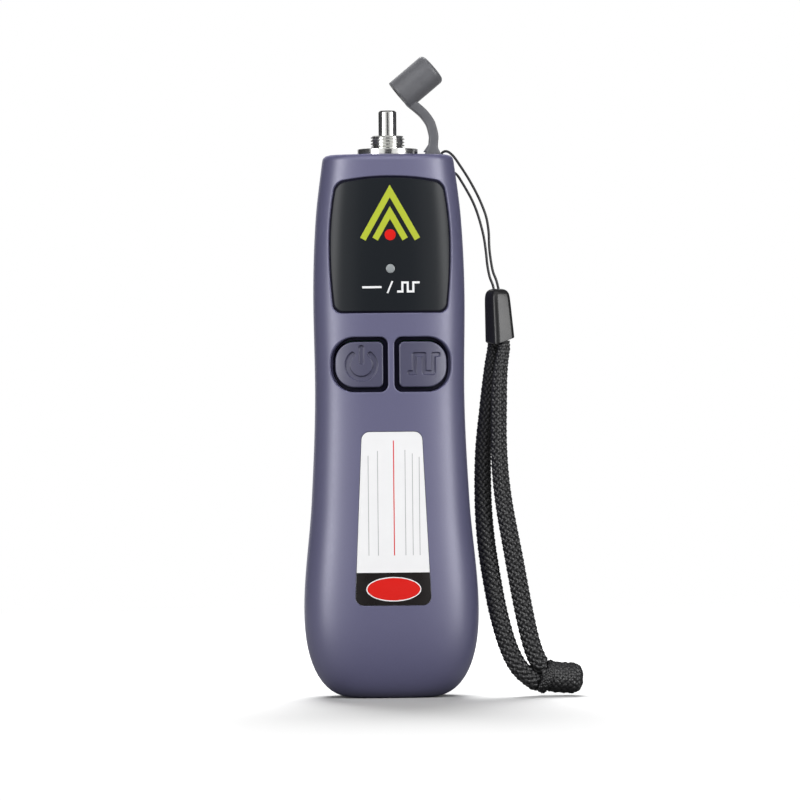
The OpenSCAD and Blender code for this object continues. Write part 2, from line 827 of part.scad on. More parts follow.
module case_screws() {
    color(steel) for (p = case_screw_places) {
        rod_y(p.x, p.y, screw_r, screw_sink - screw_l, screw_sink + fit);
        difference() {
            rod_y(p.x, p.y, screw_head_r, screw_sink, screw_sink + screw_head_h);
            rod_y(p.x, p.y, screw_r / 2, screw_sink + screw_head_h / 2, screw_sink + 2 * screw_head_h);
        }
    }
}

// Full inner outline of the housing at a height, for the tray's walls
function inner_outline(z, front, back) =
    let (f = half_section(z, front), b = half_section(z, back))
    concat([for (p = f) [p.x, p.y]], [for (p = reversed(b)) [p.x, -p.y]]);

module battery_tray() {
    color(black) difference() {
        union() {
            tray_cradle();
            for (z = [bay_low - bay_wall, bay_top]) tray_wall(z);
        }
        translate([-cell_x, cell_y - contact_w / 2 - fit, bay_low])
            cube([2 * cell_x, contact_w + 2 * fit, contact_t + fit]);
    }
}
module tray_cradle() {
    difference() {
        intersection() {
            half_plug(wall + tray_gap, bay_low - bay_wall, bay_top + bay_wall);
            translate([-hip_w, -hip_d, bay_low - bay_wall / 2])
                cube([2 * hip_w, hip_d + cell_y - tray_share * cell_d, bay_top - bay_low + bay_wall]);
        }
        for (s = [-1, 1]) translate([s * cell_x, cell_y, 0]) cylinder(r = cell_d / 2 + tray_fit, h = body_h);
    }
}
module tray_wall(z) {
    back = door_t + 2 * fit + ledge_t + tray_gap;
    tight = z < bay_low ? z - wall : z + bay_wall;
    translate([0, 0, z]) linear_extrude(height = bay_wall)
        polygon(inner_outline(tight, wall + tray_gap, back));
}

// An AA cell, with its nub up or down
module cell(x, z, up) {
    translate([x, cell_y, up ? z : z + cell_h]) mirror([0, 0, up ? 0 : 1]) {
        cylinder(r = cell_d / 2, h = cell_h - cell_nub_h);
        cylinder(r = cell_nub_r, h = cell_h);
    }
}
module cell_left() {
    color([0.12, 0.12, 0.13]) cell(-cell_x, bay_low + contact_t + spring_h, true);
}
module cell_right() {
    color([0.12, 0.12, 0.13]) cell(cell_x, bay_low + contact_t, false);
}

// Flat contact on a tray wall
contact_w = 9;
module contact(x0, x1, z) {
    translate([x0 - contact_w / 2, cell_y - contact_w / 2, z])
        cube([x1 - x0 + contact_w, contact_w, contact_t]);
}
module lower_contact() {
    color(steel) contact(-cell_x, cell_x, bay_low);
}
module plus_contact() {
    color(steel) contact(-cell_x, -cell_x, bay_top - contact_t);
}
module minus_contact() {
    color(steel) contact(cell_x, cell_x, bay_top - contact_t);
}

// Cone spring between a contact and a cell's flat end
spring_wire = 0.35;
spring_turns = 2.5;
spring_low_r = 4;
spring_top_r = 2.6;
spring_steps = 20;
spring_sides = 6;
function spring_path() =
    [for (i = [0:spring_steps * spring_turns])
        let (u = i / (spring_steps * spring_turns), t = 360 * i / spring_steps,
             r = spring_low_r + (spring_top_r - spring_low_r) * u)
        [r * cos(t), r * sin(t), spring_wire + fit + u * (spring_h - 2 * (spring_wire + fit))]];
function spring_ring(path, i) =
    let (ahead = unit(path[min(i + 1, len(path) - 1)] - path[max(i - 1, 0)]),
         across = unit(cross(ahead, [0, 0, 1])), up = cross(across, ahead))
    [for (k = [0:spring_sides - 1])
        let (t = 360 * k / spring_sides)
        path[i] + spring_wire * (cos(t) * across + sin(t) * up)];
module cell_spring() {
    path = spring_path();
    polyhedron([for (i = [0:len(path) - 1]) each spring_ring(path, i)], concat(
        side_faces(len(path), spring_sides),
        end_fan(0, spring_sides, false),
        end_fan((len(path) - 1) * spring_sides, spring_sides, true)
    ), convexity = 8);
    least = min([for (i = [0:len(path) - 1], j = [i + 1:len(path) - 1])
        if (j - i > spring_steps / 2) norm(path[j] - path[i]) - 2 * spring_wire]);
    echo(least_gap_between_curls = least);
}
module lower_spring() {
    color(steel) translate([-cell_x, cell_y, bay_low + contact_t]) cell_spring();
}
module upper_spring() {
    color(steel) translate([cell_x, cell_y, bay_top - contact_t]) mirror([0, 0, 1]) cell_spring();
}

// Wires inside the housing
battery_wire_route = [
    [7.4, 1, 2.5], [7.2, 0, 4], [6.5, -1.4, 7], [6.1, -2.4, 10], [6, -3.5, 11.6], [6, -4.3, 11.6]
];
laser_wire_route = [
    [1.2, -0.4, -4.65], [1.6, -1, -7.2], [2.4, -2.2, -9.6], [3, -3.5, -10.6], [3, -4.3, -10.6]
];
wire_thin_r = 0.4;
module mirrored_pair() {
    children();
    mirror([1, 0, 0]) children();
}
module battery_wires() {
    color("crimson") translate([0, 0, bay_top]) mirrored_pair()
        tube(battery_wire_route, wire_thin_r, 8, 3, [1, 0, 0]);
}
module laser_wires() {
    color("crimson") translate([0, 0, laser_low]) mirrored_pair()
        tube(laser_wire_route, wire_thin_r, 8, 3, [1, 0, 0]);
}

// Turned piece on the port's axis, from an outline of [radius, height]
module turned(outline) {
    rotate_extrude() polygon(outline);
}

module port_body() {
    bore = tube_d / 2 + fit;
    neck = laser_neck_r + fit;
    color(steel) turned([
        [neck, spigot_low], [spigot_r, spigot_low], [spigot_r, shoulder_z],
        [flange_d / 2, shoulder_z], [flange_d / 2, shoulder_z + flange_t],
        [collar_d / 2, shoulder_z + flange_t], [collar_d / 2, collar_top],
        [bore, collar_top], [bore, spigot_low + laser_neck_h + fit],
        [neck, spigot_low + laser_neck_h + fit]
    ]);
}
module port_washer() {
    color(brass) translate([0, 0, shoulder_z - wall - washer_t]) difference() {
        cylinder(r = washer_r, h = washer_t);
        translate([0, 0, -over]) cylinder(r = spigot_r + fit, h = washer_t + 2 * over);
    }
}
module port_nut() {
    color(brass) translate([0, 0, shoulder_z - wall - washer_t - nut_h]) difference() {
        cylinder(r = nut_flats / sqrt(3), h = nut_h, $fn = 6);
        translate([0, 0, -over]) cylinder(r = spigot_r + slip, h = nut_h + 2 * over);
    }
}
module ferrule_tube() {
    low = spigot_low + laser_neck_h + 2 * fit;
    inner = ferrule_d / 2 + sleeve_wall + fit;
    lip = ferrule_d / 2 + 2 * fit;
    r = tube_d / 2;
    color(steel) turned([
        [inner, low], [r, low], [r, tube_top - rim_chamfer], [r - rim_chamfer, tube_top],
        [lip, tube_top], [lip, tube_top - rim_h], [inner, tube_top - rim_h]
    ]);
}
module ceramic_sleeve() {
    r = ferrule_d / 2;
    top = tube_top - rim_h - fit;
    color("white") turned([
        [r, top - sleeve_h], [r + sleeve_wall, top - sleeve_h], [r + sleeve_wall, top], [r, top]
    ]);
}
module laser_barrel() {
    r = laser_d / 2;
    top = spigot_low - fit;
    seat = diode_r + fit;
    deep = laser_low + 2 * diode_flange_t + diode_can_h;
    color(brass) turned([
        [seat, laser_low], [r, laser_low], [r, top], [laser_neck_r, top],
        [laser_neck_r, top + laser_neck_h], [laser_bore_r - 2 * seam, top + laser_neck_h],
        [laser_bore_r - 2 * seam, laser_low + lens_seat], [laser_bore_r, laser_low + lens_seat],
        [laser_bore_r, deep], [laser_bore_r, laser_low + 2 * diode_flange_t],
        [seat, laser_low + 2 * diode_flange_t]
    ]);
}
module laser_diode() {
    color(brass) translate([0, 0, laser_low + diode_flange_t]) {
        cylinder(r = diode_r, h = diode_flange_t);
        cylinder(r = diode_can_r, h = diode_flange_t + diode_can_h);
        for (i = [0:diode_pins - 1])
            rotate([0, 0, pin_turn + 360 * i / diode_pins])
                translate([diode_can_r / 2, 0, -diode_flange_t - pin_h])
                    cylinder(r = pin_r, h = diode_flange_t + pin_h + fit);
    }
}
module focus_lens() {
    r = laser_bore_r - fit;
    z = laser_low + lens_seat - fit - lens_t / 2;
    color([0.7, 0.85, 0.9]) turned([
        [0, z - lens_t / 2], [r / 2, z - lens_t * lens_mid_share], [r, z - lens_t * lens_bow_share],
        [r, z + lens_t * lens_bow_share], [r / 2, z + lens_t * lens_mid_share], [0, z + lens_t / 2]
    ]);
}
module lens_ring() {
    top = laser_low + lens_seat - fit - lens_t;
    r = laser_bore_r - fit;
    color(brass) turned([
        [r * lens_ring_share, top - lens_ring_h], [r, top - lens_ring_h], [r, top], [r * lens_ring_share, top]
    ]);
}

// Strap outline from one of its points to another, with both edges
function strap_path(i, j) = [for (k = [i:j]) strap_points[k]];
function path_normal(p, k) =
    let (d = unit(p[min(k + 1, len(p) - 1)] - p[max(k - 1, 0)])) [-d.y, d.x];
function strap_edge(i, j, s) =
    [for (k = [i:j]) strap_points[k] + s * strap_t / 2 * path_normal(strap_points, k)];
module strap_piece(outline) {
    translate([0, strap_b / 2, shoulder_z])
        rotate([90, 0, 0]) linear_extrude(height = strap_b) polygon(outline);
}
module cap_foot() {
    w = foot_w / 2;
    n = strap_edge(0, 0, 1)[0];
    m = strap_edge(0, 0, -1)[0];
    color(rubber_grey) {
        strap_piece([
            [foot_x - w - foot_lip, foot_h / 2], [foot_x - w, 0], [foot_x + w, 0], m, n
        ]);
        translate([foot_x, 0, shoulder_z - wall - slip]) {
            cylinder(r = foot_stem_r, h = wall + 2 * slip);
            translate([0, 0, -foot_barb_h]) cylinder(r1 = foot_stem_r, r2 = foot_barb_r, h = foot_barb_h);
        }
    }
}
module strap_between(i, j) {
    color(rubber_grey) strap_piece(concat(strap_edge(i, j, 1), reversed(strap_edge(i, j, -1))));
}
module cap_root_bend() {
    strap_between(0, root_point);
}
module cap_strap() {
    strap_between(root_point, neck_point);
}
module cap_neck_bend() {
    difference() {
        strap_between(neck_point, len(strap_points) - 1);
        at_cap() translate([0, 0, -over]) cylinder(r = cap_d / 2 + fit, h = cap_h);
    }
}
module at_cap() {
    translate([cap_mouth.x, 0, shoulder_z + cap_mouth.y]) rotate([0, cap_tilt, 0]) children();
}
module dust_cap() {
    r = cap_d / 2;
    c = cap_round;
    color(rubber_grey) at_cap()
        turned(concat(
            [[cap_bore / 2, 0], [r, 0]],
            [for (i = [0:corner_steps])
                let (t = 90 * i / corner_steps)
                [r - c + c * cos(t), cap_h - c + c * sin(t)]],
            [[0, cap_h], [0, cap_depth], [cap_bore / 2, cap_depth]]
        ));
}

module lanyard_string() {
    color(black) translate([0, 0, body_h]) tube(string_route, string_d / 2, 8, 2);
}
function below_clasp(route) = [for (p = route) [p.x, p.y, p.z * clasp_low.z / strand_reach]];
module strand_front() {
    color(black) tube(below_clasp(strand_front_route), strand_d / 2, 10, 2);
}
module strand_back() {
    color(black) tube(below_clasp(strand_back_route), strand_d / 2, 10, 2);
}

// Tapered clasp with rounded corners, ridge to the front
function clasp_ring(size, middle) =
    let (w = size.x / 2, d = size.y / 2)
    [for (p = rounded([[-w, -d], [w, -d], [w, d], [-w, d]], [clasp_r, clasp_r, clasp_r, clasp_r]))
        let (q = spun(p, clasp_turn))
        [middle.x + q.x, middle.y + q.y, middle.z]];
module cord_clasp() {
    low = clasp_ring(clasp_low_size, clasp_low);
    top = clasp_ring(clasp_top_size, clasp_top);
    n = len(low);
    color(black) polyhedron(
        concat(reversed(low), reversed(top)),
        concat(side_faces(2, n), end_fan(0, n, false), end_fan(n, n, true)),
        convexity = 2
    );
}

module strap_knot() {
    r = knot_ring_r;
    w = knot_ring_w;
    e = w / 4;
    s = knot_stub_r;
    l = knot_stub_l;
    color(black) translate(knot_face) {
        rotate([0, knot_tilt, 0])
            turned([[0, 0], [r - e, 0], [r, e], [r, w - e], [r - e, w], [0, w]]);
        translate([w, 0, 0]) rotate([0, 90, 0])
            turned(concat([[0, 0]], [for (k = knot_stub_shares) [s * k.x, l * k.y]], [[0, l]]));
    }
}

front_shell();
rear_shell();
battery_door();
display_window();
light_pipe();
status_led();
power_key();
mode_key();
key_mat();
sticker();
circuit_board();
board_parts();
board_screws();
power_switch();
mode_switch();
power_plunger();
mode_plunger();
case_screws();
battery_tray();
cell_left();
cell_right();
lower_contact();
plus_contact();
minus_contact();
lower_spring();
upper_spring();
battery_wires();
laser_barrel();
laser_diode();
focus_lens();
lens_ring();
laser_wires();
port_body();
port_washer();
port_nut();
ferrule_tube();
ceramic_sleeve();
cap_foot();
cap_root_bend();
cap_strap();
cap_neck_bend();
dust_cap();
lanyard_string();
cord_clasp();
strand_front();
strand_back();
strap_knot();
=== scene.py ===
"""Looks of a hand-held visual fault locator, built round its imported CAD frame."""

import math

import bpy
import numpy as np
from mathutils import Matrix, Vector
from mathutils.geometry import delaunay_2d_cdt


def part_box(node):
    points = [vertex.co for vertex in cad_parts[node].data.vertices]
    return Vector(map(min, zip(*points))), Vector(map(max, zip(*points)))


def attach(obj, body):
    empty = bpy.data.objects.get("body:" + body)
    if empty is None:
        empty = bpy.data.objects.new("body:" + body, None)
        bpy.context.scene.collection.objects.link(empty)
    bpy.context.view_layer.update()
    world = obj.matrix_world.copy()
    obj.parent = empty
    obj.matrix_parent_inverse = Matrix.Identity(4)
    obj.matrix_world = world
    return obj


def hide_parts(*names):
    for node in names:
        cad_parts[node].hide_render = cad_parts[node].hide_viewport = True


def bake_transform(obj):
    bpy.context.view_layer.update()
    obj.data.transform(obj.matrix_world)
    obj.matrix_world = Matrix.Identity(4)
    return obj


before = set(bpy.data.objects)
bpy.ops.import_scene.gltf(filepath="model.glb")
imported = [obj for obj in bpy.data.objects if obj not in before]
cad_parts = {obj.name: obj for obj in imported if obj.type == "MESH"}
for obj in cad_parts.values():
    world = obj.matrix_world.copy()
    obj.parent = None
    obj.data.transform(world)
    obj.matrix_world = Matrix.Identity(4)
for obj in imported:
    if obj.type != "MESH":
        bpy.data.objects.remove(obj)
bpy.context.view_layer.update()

MM = 0.001
FRONT = -1
REAR = 1

# Form of the housing, as in the CAD source, in millimetres
BODY_H = 127.0
EDGE_R = 1.2
WALL = 1.8
BASE_W = 17.5
BASE_D = 12.0
BASE_ROUND = 2.35
HIP_Z = 20.5
SECTION_POWER = 3.0
WIDTHS = np.array([(20.5, 40.9), (46, 37), (73, 35), (93, 35.5), (112, 34.1), (127, 30.5)])
DEPTHS = np.array([(20.5, 26.4), (46, 24), (73, 22.4), (93, 22.4), (112, 21.8), (127, 20.4)])
PART_GAP = 0.07


def row_slopes(table):
    """Slopes of the smooth curve through a table, level at its first row and at each turn."""
    z, v = table[:, 0], table[:, 1]
    slopes = np.zeros(len(v))
    for i in range(1, len(v) - 1):
        if (v[i + 1] - v[i]) * (v[i] - v[i - 1]) > 0:
            slopes[i] = (v[i + 1] - v[i - 1]) / (z[i + 1] - z[i - 1])
    slopes[-1] = (v[-1] - v[-2]) / (z[-1] - z[-2])
    return slopes


def cubic(u, p, q, m, n):
    """A value on the way from p to q, with slopes m and n there."""
    return (
        (2 * u**3 - 3 * u**2 + 1) * p + (u**3 - 2 * u**2 + u) * m
        + (3 * u**2 - 2 * u**3) * q + (u**3 - u**2) * n
    )


def curve_at(table, z):
    """Value of a table's smooth curve at a height."""
    rows = table[:, 0]
    i = np.clip(np.searchsorted(rows, z, "right") - 1, 0, len(rows) - 2)
    d = rows[i + 1] - rows[i]
    u = (z - rows[i]) / d
    slopes = row_slopes(table)
    return cubic(u, table[i, 1], table[i + 1, 1], slopes[i] * d, slopes[i + 1] * d)


def half_size(table, base, z):
    """Half the housing's width or depth at a height, with its tucked base and its top edge."""
    z = np.clip(np.asarray(z, float), 0.0, BODY_H)
    low = (1 - np.clip(1 - z / HIP_Z, 0, 1) ** BASE_ROUND) ** (1 / BASE_ROUND)
    below = base + (table[0, 1] - base) * low
    rise = np.clip(z - (BODY_H - EDGE_R), 0, EDGE_R)
    inset = EDGE_R - np.sqrt(EDGE_R**2 - rise**2)
    return np.where(z < HIP_Z, below, curve_at(table, np.maximum(z, HIP_Z))) / 2 - inset


def half_w(z):
    return half_size(WIDTHS, BASE_W, z)


def half_d(z):
    return half_size(DEPTHS, BASE_D, z)


MID_HALF_W = 17.6
MID_HALF_D = 11.4
BEND_WEIGHT = 3.0
BEND_MOST = 0.02


def across_table():
    """Places along half a cross-section, evenly spaced with more where it bends."""
    t = np.linspace(math.pi, 0, 8001)
    x = np.sign(np.cos(t)) * np.abs(np.cos(t)) ** (2 / SECTION_POWER)
    y = np.abs(np.sin(t)) ** (2 / SECTION_POWER)
    dx, dy = np.diff(x) * MID_HALF_W, np.diff(y) * MID_HALF_D
    turn = np.abs(np.diff(np.unwrap(np.arctan2(dy, dx))))
    length = np.hypot(dx, dy)
    length[1:] += BEND_WEIGHT * np.minimum(turn, BEND_MOST)
    s = np.concatenate([[0], np.cumsum(length)])
    return s - s[-1] / 2, x, y


def along_table():
    """Places up the housing's side, evenly spaced along its profile."""
    low = HIP_Z * np.linspace(0, 1, 4001) ** 3
    edge = BODY_H - EDGE_R * (1 - np.sin(np.linspace(0, math.pi / 2, 200)))
    z = np.concatenate([low, np.linspace(HIP_Z, BODY_H - EDGE_R, 2001)[1:], edge[1:]])
    t = np.concatenate([[0], np.cumsum(np.hypot(np.diff(z), np.diff(half_w(z))))])
    return t, z


S_TABLE, CX_TABLE, CY_TABLE = across_table()
T_TABLE, Z_TABLE = along_table()
S_END = S_TABLE[-1]
T_END = T_TABLE[-1]


def to_domain(xz):
    """Places on the skin's map, from places as seen from the front."""
    z = xz[:, 1]
    s = np.interp(xz[:, 0] / half_w(z), CX_TABLE, S_TABLE)
    return np.stack([s, np.interp(z, Z_TABLE, T_TABLE)], 1)


def bare_skin(side, st):
    """Points of the plain skin at places on its map."""
    s, t = np.clip(st[:, 0], -S_END, S_END), np.clip(st[:, 1], 0, T_END)
    z = np.interp(t, T_TABLE, Z_TABLE)
    cx, cy = np.interp(s, S_TABLE, CX_TABLE), np.interp(s, S_TABLE, CY_TABLE)
    y = PART_GAP + (half_d(z) - PART_GAP) * cy
    return np.stack([half_w(z) * cx, side * y, z], 1)


def full_turn(n):
    return np.linspace(0, 2 * math.pi, n, endpoint=False)


def unit(v):
    return v / np.maximum(np.linalg.norm(v, axis=-1, keepdims=True), 1e-12)


MAP_STEP = 0.04


def map_normals(side, st, place):
    """Outward normals of a surface that a function of the map gives."""
    a, b = np.array([MAP_STEP, 0]), np.array([0, MAP_STEP])
    ds = place(st + a) - place(st - a)
    dt = place(st + b) - place(st - b)
    return unit(np.cross(ds, dt)) * (1 if side == FRONT else -1)


def skin(side, st, depth=0.0, relief=None):
    """Points and normals of the skin, at a depth below it, with a relief of x and z."""
    depth = np.broadcast_to(np.asarray(depth, float), (len(st),))

    def place(p):
        base = bare_skin(side, p)
        down = depth.copy()
        if relief is not None:
            down = down + relief(base[:, 0], base[:, 2])
        return base - down[:, None] * map_normals(side, p, lambda q: bare_skin(side, q))

    return place(st), map_normals(side, st, place)


class Build:
    """A mesh that is put together from points with their own normals."""

    def __init__(self):
        self.points, self.normals, self.faces, self.count = [], [], [], 0

    def add(self, points, normals, faces):
        faces = np.asarray(faces) + self.count
        self.faces.extend(map(tuple, faces.tolist()))
        self.points.append(points)
        self.normals.append(np.broadcast_to(normals, points.shape))
        self.count += len(points)

    def rings(self, points, normals, closed=True):
        """Faces between rings, given as arrays of ring, place and axis."""
        rows, n = points.shape[:2]
        wrap = n if closed else n - 1
        k = np.arange(wrap)
        a = np.concatenate([r * n + k for r in range(rows - 1)])
        b = np.concatenate([r * n + (k + 1) % n for r in range(rows - 1)])
        quads = np.stack([a, b, b + n, a + n], 1)
        self.add(points.reshape(-1, 3), normals.reshape(-1, 3), quads)

    def make(self, name, material):
        points, normals = np.concatenate(self.points), np.concatenate(self.normals)
        key = np.round(np.concatenate([points * 2000, normals * 8], 1)).astype(np.int64)
        _, first, back = np.unique(key, axis=0, return_index=True, return_inverse=True)
        back = back.reshape(-1)
        points, normals = points[first], normals[first]
        faces = []
        for face in self.faces:
            ids = [back[i] for i in face]
            ids = [v for k, v in enumerate(ids) if v != ids[k - 1]]
            if len(set(ids)) < 3:
                continue
            p = points[ids]
            turn = np.cross(p[1] - p[0], p[2] - p[0])
            if len(ids) == 4:
                turn = np.cross(p[2] - p[0], p[3] - p[1])
            faces.append(ids[::-1] if turn @ normals[ids].sum(0) < 0 else ids)
        mesh = smooth_mesh(name, points, faces)
        mesh.normals_split_custom_set_from_vertices(normals.tolist())
        return placed(name, mesh, material)


def placed(name, data, material=None):
    """A new object in the scene."""
    obj = bpy.data.objects.new(name, data)
    bpy.context.scene.collection.objects.link(obj)
    if material is not None:
        data.materials.append(material)
    return obj


def plain_mesh(name, points, faces):
    mesh = bpy.data.meshes.new(name)
    mesh.from_pydata(points, [], faces)
    return mesh


def smooth_mesh(name, points, faces):
    """A mesh of points in millimetres, shaded smooth."""
    mesh = plain_mesh(name, (np.asarray(points, float) * MM).tolist(), faces)
    mesh.validate()
    mesh.polygons.foreach_set("use_smooth", [True] * len(mesh.polygons))
    return mesh


def dress(piece, node, body="housing"):
    """Fixes a piece to a body. It may stand for a CAD node, which it hides."""
    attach(piece, body)
    if node:
        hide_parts(node)
    return piece


def inside(points, outline):
    """Which points lie inside a closed outline."""
    x, y = points[:, 0][:, None], points[:, 1][:, None]
    a, b = outline, np.roll(outline, -1, 0)
    crosses = (a[:, 1] > y) != (b[:, 1] > y)
    with np.errstate(divide="ignore", invalid="ignore"):
        at = a[:, 0] + (y - a[:, 1]) * (b[:, 0] - a[:, 0]) / (b[:, 1] - a[:, 1])
    return (crosses & (x < at)).sum(1) % 2 == 1


def outward(outline):
    """Unit normals of a closed outline that runs against the clock."""
    ahead = unit(np.roll(outline, -1, 0) - np.roll(outline, 1, 0))
    return np.stack([ahead[:, 1], -ahead[:, 0]], 1)


def grown(outline, gap):
    return outline + outward(outline) * gap


def resampled(outline, step):
    """The same closed outline with even steps, and its corners kept."""
    points = []
    for a, b in zip(outline, np.roll(outline, -1, 0)):
        n = max(1, math.ceil(np.linalg.norm(b - a) / step))
        points.extend(a + (b - a) * k / n for k in range(n))
    return np.array(points)


def filled(loops, low, high, step, keep):
    """Triangles over a map between its borders and loops: points and faces."""
    xs = np.linspace(low[0], high[0], max(2, round((high[0] - low[0]) / step) + 1))
    ys = np.linspace(low[1], high[1], max(2, round((high[1] - low[1]) / step) + 1))
    grid = np.stack(np.meshgrid(xs, ys), -1).reshape(-1, 2)
    clear = keep(grid)
    for loop in loops:
        for part in np.array_split(loop, max(1, len(loop) // 50)):
            near = np.linalg.norm(grid[:, None] - part[None], axis=2).min(1)
            clear &= near > 0.55 * step
    grid = grid[clear]
    points, edges = [grid], []
    count = len(grid)
    for loop in loops:
        n = len(loop)
        edges.extend((count + k, count + (k + 1) % n) for k in range(n))
        points.append(loop)
        count += n
    points = np.concatenate(points)
    found = delaunay_2d_cdt([Vector(p) for p in points], edges, [], 0, 1e-6)
    out, faces = np.array([tuple(p) for p in found[0]]), np.array(found[2])
    return out, faces[keep(out[faces].mean(1))]


def lip(build, side, outline, depth, radius, low, sign, relief=None):
    """Rounded edge round an outline and the wall below it. Sign is 1 outside, -1 in a hole."""
    angles = np.radians([0, 18, 36, 54, 72, 90, 90])
    way = outward(outline)
    points, normals = [], []
    for i, a in enumerate(angles):
        off = outline - sign * way * radius * (1 - math.sin(a))
        down = depth + radius * (1 - math.cos(a)) if i < len(angles) - 1 else low
        st = to_domain(off)
        p, n = skin(side, st, down, relief)
        q, _ = skin(side, to_domain(off + way * 0.05), down, relief)
        aside = unit(q - p - ((q - p) * n).sum(1, keepdims=True) * n) * sign
        points.append(p)
        normals.append(unit(n * math.cos(a) + aside * math.sin(a)))
    build.rings(np.array(points), np.array(normals))


def panel(name, side, outline, material, depth=0.0, radius=0.2, low=1.0, step=0.6,
          relief=None, holes=(), closed=True):
    """A piece that follows the skin inside an outline, with rounded edges."""
    build = Build()
    lip(build, side, outline, depth, radius, low, 1, relief)
    rim = grown(outline, -radius)
    cuts = []
    for hole, hole_radius, hole_low in holes:
        lip(build, side, hole, depth, hole_radius, hole_low, -1, relief)
        cuts.append(grown(hole, hole_radius))
    cover(build, side, [rim, *cuts], depth, step, relief)
    if closed:
        cover(build, side, [outline], low, max(step, 0.8), None, flip=True)
    return build.make(name, material)


def cover(build, side, loops, depth, step, relief, flip=False):
    maps = [to_domain(loop) for loop in loops]

    def keep(p):
        ok = inside(p, maps[0])
        for other in maps[1:]:
            ok &= ~inside(p, other)
        return ok

    points, faces = filled(maps, maps[0].min(0), maps[0].max(0), step, keep)
    p, n = skin(side, points, depth, relief)
    build.add(p, -n if flip else n, faces)


SHELL_STEP = 0.75
INNER_STEP = 1.6
RIM_R = 0.15
RIM_TUCK = 0.04


def half_housing(name, side, holes, material):
    """One shell: its skin, the holes in it, its rims, its inside and its two ends."""
    build = Build()
    cuts, through = [], []
    for outline, radius, low in holes:
        lip(build, side, outline, 0.0, radius, low, -1)
        cuts.append(to_domain(grown(outline, radius)))
        if low >= WALL:
            through.append(to_domain(outline))
    for depth, loops, size in ((0.0, cuts, SHELL_STEP), (WALL, through, INNER_STEP)):
        def keep(p, loops=loops):
            ok = np.ones(len(p), bool)
            for loop in loops:
                ok &= ~inside(p, loop)
            return ok
        points, faces = filled(loops, (-S_END, 0), (S_END, T_END), size, keep)
        p, n = skin(side, points, depth)
        build.add(p, n if depth == 0 else -n, faces)
    t = np.linspace(0, T_END, 240)
    for s in (-S_END, S_END):
        st = np.stack([np.full_like(t, s), t], 1)
        outer, n = skin(side, st)
        rows, turned = [], []
        for a in np.radians([0, 30, 60, 90, 90]):
            down = RIM_R * (1 - math.cos(a)) if len(rows) < 4 else WALL
            row = outer - n * down
            row[:, 1] = side * (PART_GAP - RIM_TUCK * math.sin(a))
            rows.append(row)
            turned.append(unit(n * math.cos(a) + np.array([0, -side, 0]) * math.sin(a)))
        build.rings(np.array(rows), np.array(turned), closed=False)
    s = np.linspace(-S_END, S_END, 160)
    for t_end, up in ((0.0, -1.0), (T_END, 1.0)):
        ring, _ = skin(side, np.stack([s, np.full_like(s, t_end)], 1))
        middle = ring.copy()
        middle[:, 1] = side * PART_GAP
        build.rings(np.array([ring, middle]), np.full((2, len(s), 3), (0, 0, up)), closed=False)
    return build.make(name, material)


# Outlines as seen from the front, against the clock
def box_corners(w, h):
    return [(-w, -h), (w, -h), (w, h), (-w, h)]


def rounded(corners, radii, steps=10):
    """A closed outline with round corners."""
    corners = np.array(corners, float)
    points = []
    for i, (p, r) in enumerate(zip(corners, radii)):
        u, v = unit(corners[i - 1] - p), unit(corners[(i + 1) % len(corners)] - p)
        half = math.acos(np.clip(u @ v, -1, 1)) / 2
        middle = p + unit(u + v) * r / math.sin(half)
        start = p + u * r / math.tan(half) - middle
        for k in range(steps + 1):
            a = (math.pi - 2 * half) * k / steps
            turn = np.array([[math.cos(a), -math.sin(a)], [math.sin(a), math.cos(a)]])
            points.append(middle + turn @ start)
    return np.array(points)


WINDOW_HALF_W = 13.35
WINDOW_HALF_H = 15.6
WINDOW_Z = 105.5
WINDOW_R = 1.9


def window_outline(gap):
    """The window, with bowed sides and an arched top, drawn in by a gap."""
    w, h = WINDOW_HALF_W - gap, WINDOW_HALF_H - gap
    p = resampled(rounded(box_corners(w, h), [WINDOW_R] * 4), 0.5)
    u, v = p[:, 0] / w, p[:, 1] / h
    x = p[:, 0] + u * (1.0 * (1 - v**2) - np.where(v > 0, 0.55 * v**2, 0))
    z = WINDOW_Z + p[:, 1] + np.where(v > 0, v * (0.75 * (1 - u**2) - 0.6 * u**2), 0)
    return np.stack([x, z], 1)


KEY_X0, KEY_X1 = 0.765, 14.15
KEY_Z0, KEY_Z1 = 71.5, 84.3
KEY_OUT_R, KEY_NEAR_R = 5.6, 1.8


def key_outline(gap, left):
    """One key, square towards the middle and round outside, drawn in by a gap."""
    x0, x1, z0, z1 = KEY_X0 + gap, KEY_X1 - gap, KEY_Z0 + gap, KEY_Z1 - gap
    out, near = KEY_OUT_R - gap, KEY_NEAR_R - gap / 2
    p = rounded([(x0, z0), (x1, z0), (x1, z1), (x0, z1)], [near, out, out, near])
    p = resampled(p, 0.4)
    return p[::-1] * np.array([-1, 1]) if left else p


def trapezoid(sizes, gap=0.0):
    """An outline from its lower and upper width, foot, height and radius, drawn in by a gap."""
    low_w, top_w, z, h, r = sizes
    w, v, low, top = low_w / 2 - gap, top_w / 2 - gap, z + gap, z + h - gap
    return resampled(rounded([(-w, low), (w, low), (v, top), (-v, top)], [r - gap] * 4), 0.6)


def circle(x, z, r, n=40):
    a = full_turn(n)
    return np.stack([x + r * np.cos(a), z + r * np.sin(a)], 1)


def ellipse(x, z, a, b):
    return circle(0, 0, 1, 64) * np.array([a, b]) + np.array([x, z])


# Materials. MIX_A, MIX_B and MIX_OUT are the colour sockets of a mix node
MIX_A = 6
MIX_B = 7
MIX_OUT = 2


